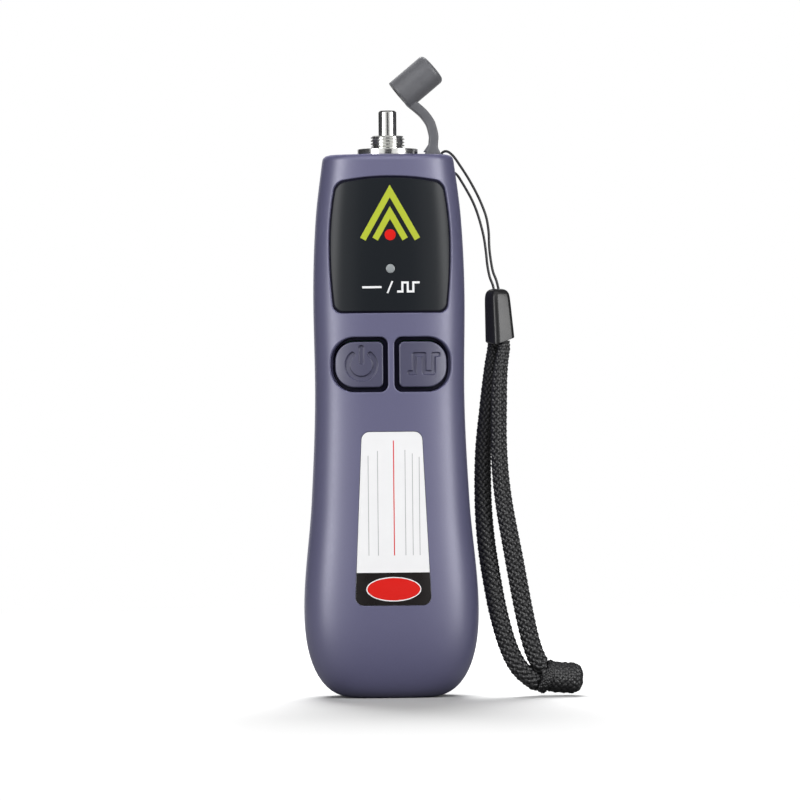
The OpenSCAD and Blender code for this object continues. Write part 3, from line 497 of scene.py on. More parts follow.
def shader(name, colour, roughness, **sockets):
    made = bpy.data.materials.new(name)
    made.use_nodes = True
    principled = made.node_tree.nodes["Principled BSDF"]
    principled.inputs["Base Color"].default_value = (*colour, 1)
    principled.inputs["Roughness"].default_value = roughness
    for socket, value in sockets.items():
        principled.inputs[socket.replace("_", " ")].default_value = value
    return made


def node_of(made, kind, **values):
    node = made.node_tree.nodes.new(kind)
    for key, value in values.items():
        if key in node.inputs:
            node.inputs[key].default_value = value
        else:
            setattr(node, key, value)
    return node


def noise_of(made, scale, detail=3.0, stretch=(1, 1, 1)):
    tree = made.node_tree
    place = node_of(made, "ShaderNodeTexCoord")
    sized = node_of(made, "ShaderNodeMapping")
    sized.inputs["Scale"].default_value = stretch
    noise = node_of(made, "ShaderNodeTexNoise", Scale=scale, Detail=detail)
    tree.links.new(place.outputs["Object"], sized.inputs["Vector"])
    tree.links.new(sized.outputs["Vector"], noise.inputs["Vector"])
    return noise.outputs["Fac"]


def spread_over(made, fac, low, high):
    """Maps the middle of a noise's range to a range of numbers."""
    ramp = node_of(made, "ShaderNodeMapRange")
    for key, value in (("From Min", 0.3), ("From Max", 0.7), ("To Min", low), ("To Max", high)):
        ramp.inputs[key].default_value = value
    made.node_tree.links.new(fac, ramp.inputs["Value"])
    return ramp.outputs["Result"]


def drive(made, output, socket):
    """Links a value to a socket of the material's shader."""
    made.node_tree.links.new(output, made.node_tree.nodes["Principled BSDF"].inputs[socket])
    return made


def shade(colour, share):
    return tuple(c * share for c in colour)


def mottled(made, first, second, scale, detail=3.0):
    """The base colour wanders between two colours."""
    mix = node_of(made, "ShaderNodeMix", data_type="RGBA")
    mix.inputs[MIX_A].default_value = (*first, 1)
    mix.inputs[MIX_B].default_value = (*second, 1)
    made.node_tree.links.new(spread_over(made, noise_of(made, scale, detail), 0, 1), mix.inputs[0])
    return drive(made, mix.outputs[MIX_OUT], "Base Color")


def uneven(made, low, high, scale, detail=3.0, stretch=(1, 1, 1)):
    """The roughness wanders between two values."""
    return drive(made, spread_over(made, noise_of(made, scale, detail, stretch), low, high), "Roughness")


def grained(made, scale, distance, strength=1.0, detail=3.0, stretch=(1, 1, 1)):
    """Fine bumps, a distance in metres high."""
    bump = node_of(made, "ShaderNodeBump", Strength=strength, Distance=distance)
    made.node_tree.links.new(noise_of(made, scale, detail, stretch), bump.inputs["Height"])
    return drive(made, bump.outputs["Normal"], "Normal")


def lacquer(name, tint):
    made = shader(name, tint, 0.4, Metallic=0.1, Specular_IOR_Level=1.0)
    mottled(made, shade(tint, 0.95), shade(tint, 1.05), 7000, 2)
    uneven(made, 0.38, 0.43, 1800)
    return grained(made, 2600, 0.000012, 0.5)


def film():
    return shader("black_film", (0.0115, 0.0138, 0.017), 0.3, Specular_IOR_Level=0.2)


def rubber(name, colour, rough, sheen=0.1, specular=0.5):
    made = shader(name, colour, rough, Sheen_Weight=sheen, Sheen_Roughness=0.5, Specular_IOR_Level=specular)
    mottled(made, shade(colour, 0.86), colour, 420, 5)
    uneven(made, rough - 0.07, rough + 0.09, 700, 4)
    return grained(made, 1500, 0.00003, 0.5, 4)


def plated(name, colour, rough):
    made = shader(name, colour, rough, Metallic=1.0)
    uneven(made, rough * 0.75, rough * 1.5, 500, 5, (1, 1, 14))
    return grained(made, 700, 0.000006, 0.5, 4, (1, 1, 18))


def moulded(name, colour, rough, grain=2400):
    made = shader(name, colour, rough)
    mottled(made, shade(colour, 0.9), colour, 260)
    uneven(made, rough - 0.06, rough + 0.07, 900)
    return grained(made, grain, 0.00002, 0.6)


def gloss(name, colour, rough):
    made = shader(name, colour, rough, Specular_IOR_Level=0.35)
    return uneven(made, rough - 0.02, rough + 0.02, 300)


def clear(name, colour, rough, ior):
    """Something that light passes through, with fine ripples."""
    made = shader(name, colour, rough, Transmission_Weight=0.85, IOR=ior)
    uneven(made, rough * 0.7, rough * 1.4, 900)
    return grained(made, 1200, 0.000004, 0.3)


def printed(name, colour, rough=0.35):
    made = shader(name, colour, rough, Specular_IOR_Level=0.4)
    mottled(made, shade(colour, 0.98), colour, 300)
    return uneven(made, rough - 0.04, rough + 0.05, 500)


def yarn():
    made = shader("black_yarn", (0.008, 0.008, 0.009), 0.42, Specular_IOR_Level=0.75)
    mottled(made, (0.004, 0.004, 0.005), (0.014, 0.014, 0.015), 2400)
    uneven(made, 0.34, 0.5, 3000)
    return grained(made, 7000, 0.00001, 0.6, 2)


LACQUER = lacquer("violet_lacquer", (0.112, 0.11, 0.199))
KEY_LACQUER = lacquer("key_lacquer", (0.058, 0.057, 0.108))
FILM = film()
# Near-black navy rubber of the key mat, made darker than the rubber itself: it also paints the shade in the
# deep gaps round the keys and the window
MAT_RUBBER_AND_GAP_SHADE = rubber("black_mat_and_gap_shade", (0.0045, 0.0042, 0.0125), 0.6, 0.0, 0.1)
CAP_RUBBER = rubber("grey_silicone", (0.12, 0.122, 0.133), 0.42)
NICKEL = plated("nickel", (0.72, 0.72, 0.7), 0.16)
BRASS = plated("brass", (0.72, 0.53, 0.26), 0.28)
STEEL = plated("zinc_steel", (0.56, 0.56, 0.58), 0.3)
YARN = yarn()
CLASP = gloss("gloss_black", (0.017, 0.017, 0.018), 0.23)
BLACK_ABS = moulded("black_abs", (0.018, 0.018, 0.02), 0.5)
GREY_ABS = moulded("grey_abs", (0.3, 0.3, 0.31), 0.45)
EPOXY = moulded("dark_epoxy", (0.03, 0.031, 0.034), 0.4)
SOLDER_MASK = moulded("green_mask", (0.015, 0.12, 0.05), 0.32, 900)
CELL_WRAP = moulded("cell_wrap", (0.024, 0.025, 0.028), 0.24, 500)
COPPER_WRAP = plated("copper_wrap", (0.62, 0.3, 0.14), 0.3)
RED_WIRE = moulded("red_wire", (0.42, 0.02, 0.02), 0.4)
CERAMIC = moulded("white_ceramic", (0.78, 0.76, 0.7), 0.18, 3000)
LENS_GLASS = clear("lens_glass", (0.95, 0.97, 0.98), 0.03, 1.52)
LED_EPOXY = clear("led_epoxy", (0.75, 0.72, 0.68), 0.15, 1.5)
LIGHT_CAP = moulded("light_cap", (0.3, 0.325, 0.335), 0.3, 4000)
WHITE_VINYL = printed("white_vinyl", (0.87, 0.87, 0.88))
BLACK_INK = printed("black_ink", (0.008, 0.006, 0.006), 0.3)
RED_INK = printed("red_ink", (0.7, 0.014, 0.01), 0.32)
GREY_INK = printed("grey_ink", (0.42, 0.42, 0.43), 0.4)
LIME_INK = printed("lime_ink", (0.45, 0.52, 0.04), 0.35)
WHITE_INK = printed("white_ink", (0.85, 0.86, 0.87), 0.35)


# Camera: a long lens, level with the middle of the object
VIEW_W = 188.0
CAMERA_FAR = 1150.0
CAMERA_AZ = -2.3
CAMERA_ROLL = -0.48
AIM = (2.42, 0.0, 69.6)


def add_camera():
    data = bpy.data.cameras.new("camera")
    data.sensor_width = 36
    data.lens = CAMERA_FAR * 36 / VIEW_W
    data.clip_start, data.clip_end = 0.05, 20
    camera = placed("camera", data)
    a = math.radians(CAMERA_AZ)
    back = Vector((math.sin(a), -math.cos(a), 0))
    camera.location = (Vector(AIM) + back * CAMERA_FAR) * MM
    look = (-back).to_track_quat("-Z", "Y").to_matrix().to_4x4()
    roll = Matrix.Rotation(math.radians(CAMERA_ROLL), 4, "Z")
    camera.rotation_mode = "QUATERNION"
    camera.rotation_quaternion = (look @ roll).to_quaternion()
    bpy.context.scene.camera = camera


add_camera()


# Cords: the routes are those of the CAD source
def smooth_route(route, steps):
    """A smooth line through a route's points."""
    p = np.array(route, float)
    out = []
    for i in range(len(p) - 1):
        m = (p[i + 1] - p[max(i - 1, 0)]) / 2
        n = (p[min(i + 2, len(p) - 1)] - p[i]) / 2
        out.extend(cubic(k / steps, p[i], p[i + 1], m, n) for k in range(steps))
    return np.array([*out, p[-1]])


def even_line(line, step):
    """The same line with even steps, and how far along each point is."""
    far = np.concatenate([[0], np.cumsum(np.linalg.norm(np.diff(line, axis=0), axis=1))])
    at = np.linspace(0, far[-1], max(2, round(far[-1] / step) + 1))
    return np.stack([np.interp(at, far, line[:, k]) for k in range(3)], 1), at


def carried_frames(line):
    """Two directions across a line, carried along it without twist."""
    ahead = unit(np.gradient(line, axis=0))
    side = np.cross(ahead[0], (0.0, 1.0, 0.0))
    sides = []
    for d in ahead:
        side = side - (side @ d) * d
        side = side / np.linalg.norm(side)
        sides.append(side)
    sides = np.array(sides)
    return sides, np.cross(ahead, sides)


def swept(line, radii, sides):
    """Rings of points round a line, with a radius for each of its points."""
    u, v = carried_frames(line)
    a = full_turn(sides)
    c, s = np.cos(a)[None, :, None], np.sin(a)[None, :, None]
    return line[:, None] + radii[:, None, None] * (c * u[:, None] + s * v[:, None])


def ring_faces(rows, n, start=0, closed_ends=True):
    faces = [
        (start + r * n + k, start + r * n + (k + 1) % n,
         start + (r + 1) * n + (k + 1) % n, start + (r + 1) * n + k)
        for r in range(rows - 1) for k in range(n)
    ]
    if closed_ends:
        faces.append(tuple(start + k for k in range(n))[::-1])
        faces.append(tuple(start + (rows - 1) * n + k for k in range(n)))
    return faces


def soft_mesh(name, points, faces, material, sharp=40):
    """An object with smooth shading that breaks at edges sharper than an angle."""
    mesh = smooth_mesh(name, points, faces)
    mesh.set_sharp_from_angle(angle=math.radians(sharp))
    return placed(name, mesh, material)


STRING_ROUTE = [
    (25.9, 1, 95.4), (25.4, 1, 97.5), (24.6, 1.1, 99.7), (24.1, 1.2, 102.5), (23.8, 1.4, 105.5),
    (23.7, 1.6, 109), (23.2, 1.8, 112.4), (22.1, 2.1, 115.6), (20.7, 2.5, 118.7), (18.9, 2.8, 122),
    (17, 3.1, 125), (15.6, 3.3, 127), (14.2, 3.4, 128.1), (13, 3.4, 127.8), (12.6, 3.4, 126.4),
    (12.7, 3.4, 124.6), (13.4, 3.4, 123.6), (15, 3.4, 123.5), (16.4, 3.3, 122.6), (17.4, 3.1, 121.1),
    (18.6, 2.7, 119), (20, 2.3, 116.3), (21.1, 1.9, 113.4), (22, 1.6, 110.2), (22.6, 1.4, 107.4),
    (23, 1.2, 104.3), (23.3, 1.1, 101.2), (23.8, 1, 98.5), (24.5, 1, 96.6), (24.8, 1, 95.4),
]
FRONT_ROUTE = [
    (26.9, -1.4, 83.1), (26.9, -1.4, 81.6), (26.1, -2, 77), (25.6, -2.4, 70), (25.5, -2.6, 57),
    (26.4, -2.8, 46), (28.6, -3.2, 33), (30.9, -3.6, 20), (32.7, -3.9, 12), (34.5, -4, 7.6), (35.9, -4, 6.9),
]
BACK_ROUTE = [
    (24.6, 1.9, 83.1), (24.6, 1.9, 81.6), (24, 1.9, 77), (23.2, 1.7, 69), (22, 1.2, 58), (21.8, 0.4, 46),
    (22.4, -0.6, 36), (23.8, -1.8, 26), (25.2, -2.8, 18.6), (27.2, -3.5, 11.6), (29.6, -3.9, 6.8),
    (32.7, -4, 3.9), (34.1, -4, 3.2),
]
STRING_D = 0.65
STRAND_D = 3.8
CORE_SIDES = 10
CORE_SHARE = 0.8
YARN_SIDES = 6
YARN_SHARE = 0.86
YARN_LIFT = 0.2
YARN_THICK = 0.25


def braid_parts(line, at, radius, each_way=8, turn_length=13.0, yarn_wide=0.4):
    """Points and faces of a round braid: yarns over a core. Radius is one number or one for each point."""
    radius = np.broadcast_to(np.asarray(radius, float), (len(line),))
    u, v = carried_frames(line)
    core = swept(line, radius * CORE_SHARE, CORE_SIDES)
    points, faces = [core.reshape(-1, 3)], ring_faces(len(line), CORE_SIDES)
    count = len(line) * CORE_SIDES
    a = full_turn(YARN_SIDES)
    crossing = turn_length / (2 * each_way)
    for way in (1, -1):
        for i in range(each_way):
            turn = 2 * math.pi * (way * at / turn_length + i / each_way)
            lift = YARN_LIFT * way * np.cos(math.pi * at / crossing)
            out = np.cos(turn)[:, None] * u + np.sin(turn)[:, None] * v
            middle = line + out * (radius * YARN_SHARE + lift)[:, None]
            across = unit(np.cross(unit(np.gradient(middle, axis=0)), out))
            ring = (
                middle[:, None] + yarn_wide * np.cos(a)[None, :, None] * across[:, None]
                + YARN_THICK * np.sin(a)[None, :, None] * out[:, None]
            )
            points.append(ring.reshape(-1, 3))
            faces += ring_faces(len(line), YARN_SIDES, count)
            count += len(line) * YARN_SIDES
    return np.concatenate(points), faces


def add_braid(name, route, node):
    """One strand: drawn tight under the clasp, and broader towards the knot."""
    line, at = even_line(smooth_route(route, 12), 0.27)
    tight = 1 - 0.34 * np.clip(1 - at / 14.0, 0, 1) ** 1.3
    broad = 1 + 0.2 * np.clip((at - 22.0) / 30.0, 0, 1)
    points, faces = braid_parts(line, at, (STRAND_D / 2 - 0.12) * tight * broad)
    return dress(soft_mesh(name, points, faces, YARN, 70), node), line


def add_string():
    line, at = even_line(smooth_route(STRING_ROUTE, 10), 0.2)
    core = swept(line, STRING_D / 2 * (0.93 + 0.07 * np.cos(at * 14)), CORE_SIDES)
    faces = ring_faces(len(line), CORE_SIDES)
    piece = soft_mesh("string_loop", core.reshape(-1, 3), faces, YARN, 70)
    return dress(piece, "lanyard_string"), line


# Clasp: a tapered sleeve with a ridge towards the front, its corners as seen from below
CLASP_LOW = np.array([25.95, 0.3])
CLASP_TOP = np.array([25.5, 0.9])
CLASP_LOW_CORNERS = np.array([(-1.0, -3.9), (3.9, -1.5), (1.3, 3.9), (-3.65, 1.4)])
CLASP_TOP_CORNERS = np.array([(-0.9, -3.4), (3.45, -1.2), (1.0, 3.3), (-3.35, 1.1)])
CLASP_CORNER_R = 1.25
CLASP_Z = (82.4, 95.55)
# Share of the height, and share of the full size there
CLASP_ROWS = [
    (0.1, 0.72), (0.012, 0.84), (0.0, 0.93), (0.006, 0.985), (0.03, 1.0), (0.25, 1.0), (0.5, 1.0), (0.7, 1.0),
    (0.82, 0.99), (0.89, 0.95), (0.935, 0.88), (0.965, 0.78), (0.988, 0.62), (0.998, 0.42), (1.0, 0.25),
    (0.99, 0.14), (0.95, 0.1),
]


def add_clasp():
    points = []
    for share, size in CLASP_ROWS:
        way = min(1.0, share / 0.86)
        corners = CLASP_LOW_CORNERS * (1 - way) + CLASP_TOP_CORNERS * way
        ring = rounded(corners * size, [CLASP_CORNER_R * size] * 4)
        z = CLASP_Z[0] + (CLASP_Z[1] - CLASP_Z[0]) * share
        slope = (1 - share) * np.where(ring[:, 0] > -1, 0.36 * (ring[:, 0] + 1), 0.28 * (-1 - ring[:, 0]))
        middle = CLASP_LOW * (1 - way) + CLASP_TOP * way
        points.append(np.column_stack([ring + middle, z + slope * (share < 0.9)]))
    faces = ring_faces(len(points), len(points[0]))
    return dress(soft_mesh("clasp_sleeve", np.concatenate(points), faces, CLASP, 50), "cord_clasp")


KNOT_MIDDLE = np.array([36.3, -4.0, 4.4])
KNOT_LEAN = math.radians(116)
WRAP_R = 0.62
STUB_ROUTE = np.array([[35.0, -4, 4.6], [40.5, -4, 4.2], [44.45, -4, 4.0]])
STUB_END_R = 0.35


def add_knot():
    """A wrap round both strands, and a flared stub."""
    axis = np.array([math.sin(KNOT_LEAN), 0, math.cos(KNOT_LEAN)])
    up = np.array([-math.cos(KNOT_LEAN), 0, math.sin(KNOT_LEAN)])
    t = np.linspace(0, 4 * math.pi, 150)
    loop = KNOT_MIDDLE + axis * (-0.7 + 1.3 * t / t[-1])[:, None]
    loop = loop + 3.15 * np.cos(t)[:, None] * up + 3.0 * np.sin(t)[:, None] * np.array([0, 1, 0])
    line, at = even_line(loop, 0.24)
    points, faces = braid_parts(line, at, WRAP_R, 5, 5.0, 0.3)
    line, at = even_line(STUB_ROUTE, 0.2)
    share = at / at[-1]
    round_end = np.sqrt(np.clip(1 - (np.clip(share - 0.76, 0, 1) / 0.245) ** 2, 0.0, 1))
    flare = 2.5 + 1.25 * np.sin(np.clip(share * 3, 0, 1) * math.pi / 2) + 0.1 * np.cos(at * 3.6)
    radius = STUB_END_R + (flare - STUB_END_R) * round_end
    more, stub_faces = braid_parts(line, at, radius, 15, 20.0, 0.53)
    faces += [tuple(i + len(points) for i in face) for face in stub_faces]
    piece = soft_mesh("strap_tail", np.concatenate([points, more]), faces, YARN, 70)
    return dress(piece, "strap_knot")


clasp = add_clasp()
knot = add_knot()
string, string_line = add_string()
front_strand, front_line = add_braid("braid_front", FRONT_ROUTE, "strand_front")
back_strand, back_line = add_braid("braid_back", BACK_ROUTE, "strand_back")


# Housing: sizes of outlines as trapezoid takes them
LABEL = (17.9, 14.2, 21.8, 40.5, 2.0)
DOOR = (31.0, 30.0, 9.0, 53.0, 4.0)
DOOR_GAP = 0.15
CASE_SCREWS = [(-13, 66.8), (13, 66.8), (-11.2, 115.5), (11.2, 115.5)]
SCREW_WELL_R = 1.96
SCREW_WELL = 6.0
SCREW_SEAT = 5.0
LED_Z = 100.2
LIGHT_HOLE_R = 1.12

# Each hole as its outline, the radius of its edge and its depth
front_holes = [
    (window_outline(0), 0.3, 0.8),
    (trapezoid(LABEL), 0.12, 0.3),
    (key_outline(0, False), 0.35, WALL),
    (key_outline(0, True), 0.35, WALL),
]
dress(half_housing("front_half", FRONT, front_holes, LACQUER), "front_shell")
rear_holes = [(trapezoid(DOOR), 0.3, WALL)]
rear_holes += [(circle(x, z, SCREW_WELL_R), 0.25, SCREW_WELL) for x, z in CASE_SCREWS]
dress(half_housing("rear_half", REAR, rear_holes, LACQUER), "rear_shell")


def window_sheet(name, gap, material, depth, radius, low, step, node):
    """A sheet in the window's recess, with a hole for the status light."""
    holes = [(circle(0, LED_Z, LIGHT_HOLE_R), 0.05, low)]
    piece = panel(name, FRONT, window_outline(gap), material, depth, radius, low, step, holes=holes)
    dress(piece, node)


window_sheet("window_film", 0.42, FILM, 0.04, 0.16, 0.34, 0.7, "display_window")
# A near-black sheet under the film that closes the recess and shows only in the gap round it, painting the
# shade in that gap
window_sheet("window_gap_shade_sheet", 0.04, MAT_RUBBER_AND_GAP_SHADE, 0.36, 0.04, 0.74, 0.9, None)


# Keys
def groove(distance, width, depth, soft=0.16):
    """Depth of a round-edged groove, from the distance to its middle line."""
    edge = np.clip((width / 2 + soft / 2 - distance) / soft, 0, 1)
    return depth * edge * edge * (3 - 2 * edge)


def near_polyline(x, z, corners):
    best = np.full(x.shape, 1e9)
    for (ax, az), (bx, bz) in zip(corners[:-1], corners[1:]):
        dx, dz = bx - ax, bz - az
        u = np.clip(((x - ax) * dx + (z - az) * dz) / (dx * dx + dz * dz), 0, 1)
        best = np.minimum(best, np.hypot(x - ax - u * dx, z - az - u * dz))
    return best


def pulse(turns, low, top):
    """Corners of a square wave that starts low."""
    return [(x, top if k % 2 else low) for k in range(len(turns) - 1) for x in turns[k : k + 2]]


KEY_X = 7.45
KEY_Z = 78.05
SIGN_DEPTH = 0.52
SIGN_SOFT = 0.22
POWER_R = 3.2


def power_relief(x, z):
    """A stroke at the top of an open ring, sunk into the left key."""
    u, v = x + KEY_X - 0.5, z - KEY_Z + 0.25
    a = np.abs(np.arctan2(u, v))
    end = math.radians(40)
    ring = np.where(a > end, np.abs(np.hypot(u, v) - POWER_R),
                    np.hypot(np.abs(u) - POWER_R * math.sin(end), v - POWER_R * math.cos(end)))
    near = np.minimum(ring, near_polyline(u, v, [(0, 0.7), (0, 4.0)]))
    return groove(near, 1.15, SIGN_DEPTH, SIGN_SOFT)


def pulse_relief(x, z):
    """A square pulse, sunk into the right key."""
    u, v = x - KEY_X - 0.45, z - KEY_Z
    near = near_polyline(u, v, pulse((-3.6, -2.4, -0.2, 2.0, 3.1), -2.1, 2.1))
    return groove(near, 0.95, SIGN_DEPTH, SIGN_SOFT)


for body, left, relief in (("power_key", True, power_relief), ("mode_key", False, pulse_relief)):
    cap = panel(body + "_cap", FRONT, key_outline(1.08, left), KEY_LACQUER,
                depth=-0.1, radius=0.35, low=2.6, step=0.13, relief=relief)
    dress(cap, body, body)


# Battery door
def door_relief(x, z):
    """A thumb scoop with ribs."""
    z0 = DOOR[2] + DOOR[3] - 9
    relief = np.clip(0.8 - ((x / 1.15) ** 2 + (z - z0) ** 2) / 20, 0, 1)
    for k in range(4):
        rib_z = z0 - 5.6 - 1.6 * k
        relief = relief - groove(near_polyline(x, z, [(-5, rib_z), (5, rib_z)]), 0.5, 0.22, 0.3)
    return relief


door = panel("door_panel", REAR, trapezoid(DOOR, DOOR_GAP), LACQUER,
             radius=0.3, low=1.5, step=0.4, relief=door_relief)
dress(door, "battery_door", "battery_door")


def add_door_hook():
    """The hook under the door's lower edge, from its side view: inwards and up from the edge."""
    side = [(1.3, 0.15), (3.3, 0.15), (3.3, -1.2), (4.2, -1.2), (4.2, 1.9), (1.3, 1.9)]
    y, z = float(half_d(DOOR[2])), DOOR[2]
    points = [(x, y - a, z + b) for x in (-2.5, 2.5) for a, b in side]
    hook = soft_mesh("door_hook", points, ring_faces(2, len(side)), LACQUER, 30)
    dress(hook, None, "battery_door")


add_door_hook()


# Sticker and marks
def decal(name, outline, material, depth, holes=()):
    """A thin printed piece that follows the front's skin."""
    low = depth + 0.03
    piece = panel(name, FRONT, outline, material, depth, 0.015, low, 0.7,
                  holes=[(hole, 0.01, low) for hole in holes], closed=False)
    dress(piece, None)


label = panel("label_sheet", FRONT, trapezoid(LABEL, 0.1), WHITE_VINYL, 0.02, 0.05, 0.25, 0.8)
dress(label, "sticker")


def cut_below(outline, z):
    """The part of an outline below a height."""
    kept = outline[outline[:, 1] <= z]
    order = np.argsort(np.arctan2(kept[:, 1] - z, kept[:, 0]))
    left, right = kept[kept[:, 0] < 0], kept[kept[:, 0] >= 0]
    lx, rx = left[np.argmax(left[:, 1])][0], right[np.argmax(right[:, 1])][0]
    return resampled(np.array([(lx, z), *kept[order], (rx, z)]), 0.6)


OVAL_PLACE = (0.1, 25.65)
ring_line = ellipse(*OVAL_PLACE, 6.4, 2.85)
oval_line = ellipse(*OVAL_PLACE, 6.16, 2.61)
band_line = cut_below(trapezoid(LABEL, 0.12), 29.5)
decal("label_band", band_line, BLACK_INK, 0.0, holes=[ring_line])
decal("label_ring", ring_line, WHITE_INK, 0.0, holes=[oval_line])
decal("label_oval", oval_line, RED_INK, 0.0)


def bar(x0, z0, x1, z1):
    return resampled(np.array([(x0, z0), (x1, z0), (x1, z1), (x0, z1)], float), 0.5)


def stroke(path, width):
    """Outline of a line of a width along a path, with its corners kept sharp."""
    path = np.array(path, float)
    ahead = unit(np.diff(path, axis=0))
    across = np.stack([-ahead[:, 1], ahead[:, 0]], 1)
    both = np.concatenate([across[:1], across, across[-1:]])
    off = both[:-1] + both[1:]
    off = off / (off * both[1:]).sum(1, keepdims=True) * width / 2
    return resampled(np.concatenate([path - off, (path + off)[::-1]]), 0.5)


# Ruled lines to write on, and a red line between them
RULED_LOW = 33.5
RULED_X = (-5.6, -3.4, 3.0, 4.7, 6.3)
for k, x in enumerate(RULED_X):
    ruled = bar(x - 0.08, RULED_LOW, x + 0.08, 59.5 - 0.5 * abs(x))
    decal(f"ruled_line_{k}", ruled, GREY_INK, 0.0)
decal("red_line", bar(0.22, RULED_LOW, 0.46, 60.2), RED_INK, 0.0)

# Marks on the window: an arrow towards the port, a dot, and the two ways of working
WINDOW_MARKS = [
    ("arrow_outer", LIME_INK, stroke([(-6.35, 107.1), (0, 118.3), (6.35, 107.1)], 1.45)),
    ("arrow_inner", LIME_INK, stroke([(-3.5, 107.1), (0, 113.3), (3.5, 107.1)], 1.45)),
    ("arrow_dot", RED_INK, circle(0, 108.1, 1.3, 32)),
    ("steady_mark", WHITE_INK, stroke([(-6.6, 95.9), (-2.1, 95.9)], 0.5)),
    ("mark_slash", WHITE_INK, stroke([(-0.75, 94.5), (0.45, 97.3)], 0.4)),
    ("pulse_mark", WHITE_INK, stroke(pulse((1.5, 2.75, 4.0, 5.3, 6.8), 94.85, 96.95), 0.5)),
]
for name, material, outline in WINDOW_MARKS:
    decal(name, outline, material, 0.022)


# Port
def soften(profile, cut, steps=4):
    """Rounds the corners of a profile of radius and height."""
    p = np.array(profile, float)
    out = [p[0]]
    for a, b, c in zip(p[:-2], p[1:-1], p[2:]):
        u, v = a - b, c - b
        k = min(cut, 0.45 * np.linalg.norm(u), 0.45 * np.linalg.norm(v))
        s, e = b + unit(u) * k, b + unit(v) * k
        for w in np.linspace(0, 1, steps + 1):
            out.append((1 - w) ** 2 * s + 2 * w * (1 - w) * b + w**2 * e)
    return np.array([*out, p[-1]])


def moved(points, matrix):
    return points @ np.array(matrix.to_3x3()).T + np.array(matrix.translation)


def lathe(name, profile, material, segments=96, matrix=None, sharp=35):
    """A turned piece on an axis along Z."""
    a = full_turn(segments)
    points, rings = [], []
    for r, z in profile:
        if r < 1e-6:
            rings.append([len(points)])
            points.append((0, 0, z))
        else:
            rings.append(list(range(len(points), len(points) + segments)))
            points.extend(zip(r * np.cos(a), r * np.sin(a), np.full(segments, z)))
    faces = []
    for low, top in zip(rings[:-1], rings[1:]):
        for k in range(segments):
            m = (k + 1) % segments
            if len(low) == 1:
                faces.append((low[0], top[m], top[k]))
            elif len(top) == 1:
                faces.append((low[k], low[m], top[0]))
            else:
                faces.append((low[k], low[m], top[m], top[k]))
    points = np.array(points, float)
    if matrix is not None:
        points = moved(points, matrix)
    return soft_mesh(name, points, faces, material, sharp)


PORT_LOW = 119.5
BORE_LOW = 122.5
FLANGE_LOW = BODY_H + 0.01
FLANGE_TOP = BODY_H + 1.5
COLLAR_TOP = BODY_H + 4.6
TUBE_LOW = 122.6
TUBE_TOP = BODY_H + 10.55
TUBE_LEDGE = TUBE_TOP - 0.55
THREAD_PITCH = 0.75

# Profiles as radius and height
port_profile = [
    (3.05, PORT_LOW), (4.7, PORT_LOW), (4.7, FLANGE_LOW), (7.1, FLANGE_LOW), (7.1, FLANGE_TOP),
    (3.5, FLANGE_TOP), (3.5, COLLAR_TOP), (2.18, COLLAR_TOP), (2.18, BORE_LOW), (3.05, BORE_LOW),
    (3.05, PORT_LOW),
]
tube_profile = [
    (1.68, TUBE_LOW), (2.125, TUBE_LOW), (2.125, TUBE_TOP - 0.35), (1.8, TUBE_TOP), (1.36, TUBE_TOP),
    (1.36, TUBE_LEDGE), (1.68, TUBE_LEDGE), (1.68, TUBE_LOW),
]
light_profile = [(0, -1.5), (1.05, -1.5), (1.05, -0.14), (1.0, -0.03), (0.85, 0.05), (0.5, 0.11), (0, 0.13)]


def add_thread():
    """The collar's screw thread, as a wall whose radius runs in a helix."""
    segments = 128
    z = np.linspace(FLANGE_TOP, COLLAR_TOP, 78)
    a = full_turn(segments)
    zz, aa = np.meshgrid(z, a, indexing="ij")
    wave = np.abs(((zz / THREAD_PITCH - aa / (2 * math.pi)) % 1) - 0.5) * 2
    depth = np.clip((wave - 0.12) / 0.68, 0, 1)
    start = np.clip((zz - BODY_H - 1.85) / 0.25, 0, 1)
    end = np.clip((COLLAR_TOP - zz) / 0.3, 0, 1)
    r = 3.55 + 0.45 * (1 - depth) * start * end ** 0.7
    points = np.stack([r * np.cos(aa), r * np.sin(aa), zz], -1).reshape(-1, 3)
    return soft_mesh("port_thread", points, ring_faces(len(z), segments, closed_ends=False), NICKEL, 60)


def facing(x, y, z, side):
    """Places something turned on Z so that its axis points out of the front or the back."""
    return Matrix.Translation((x, y, z)) @ Matrix.Rotation(math.radians(-90 * side), 4, "X")


dress(lathe("port_flange", soften(port_profile, 0.15), NICKEL, 128), "port_body")
dress(add_thread(), None)
dress(lathe("port_tube", soften(tube_profile, 0.1), NICKEL), "ferrule_tube")
light_place = facing(0, 0.08 - float(half_d(LED_Z)), LED_Z, FRONT)
dress(lathe("status_lens", light_profile, LIGHT_CAP, 48, light_place), "light_pipe")


HEAD_R = 1.88
HEAD_H = 1.2
HEAD_ROWS = (0.0, 0.15, 0.28, 0.36, 0.5, 0.7, 0.9, 1.05, 1.15, 1.35, 1.6, 1.8, HEAD_R)
CROSS_HALF_W = 0.27
CROSS_R = 1.12
SCREW_SIDES = 48


def screw_rings():
    """Rings of a pan-head screw with a cross recess, its head's seat at the origin."""
    a = full_turn(SCREW_SIDES)
    rows = []
    for r in HEAD_ROWS:
        u, v = np.abs(r * np.cos(a)), np.abs(r * np.sin(a))
        cross = (np.minimum(u, v) < CROSS_HALF_W) & (np.maximum(u, v) < CROSS_R)
        top = HEAD_H - 0.22 * (r / HEAD_R) ** 2 - np.where(cross, 0.75 * (1 - 0.45 * np.maximum(u, v)), 0)
        rows.append((max(r, 0.01), top))
    rows += [(1.9, 0.8), (1.9, 0.1), (1.85, 0), (1.0, 0)]
    rows += [(0.8 + 0.2 * (k % 2), -0.35 * k) for k in range(1, 24)]
    rows += [(0.4, -8.6), (0.01, -9.0)]
    return np.array([np.stack([r * np.cos(a), r * np.sin(a), z + 0 * a], 1) for r, z in rows])


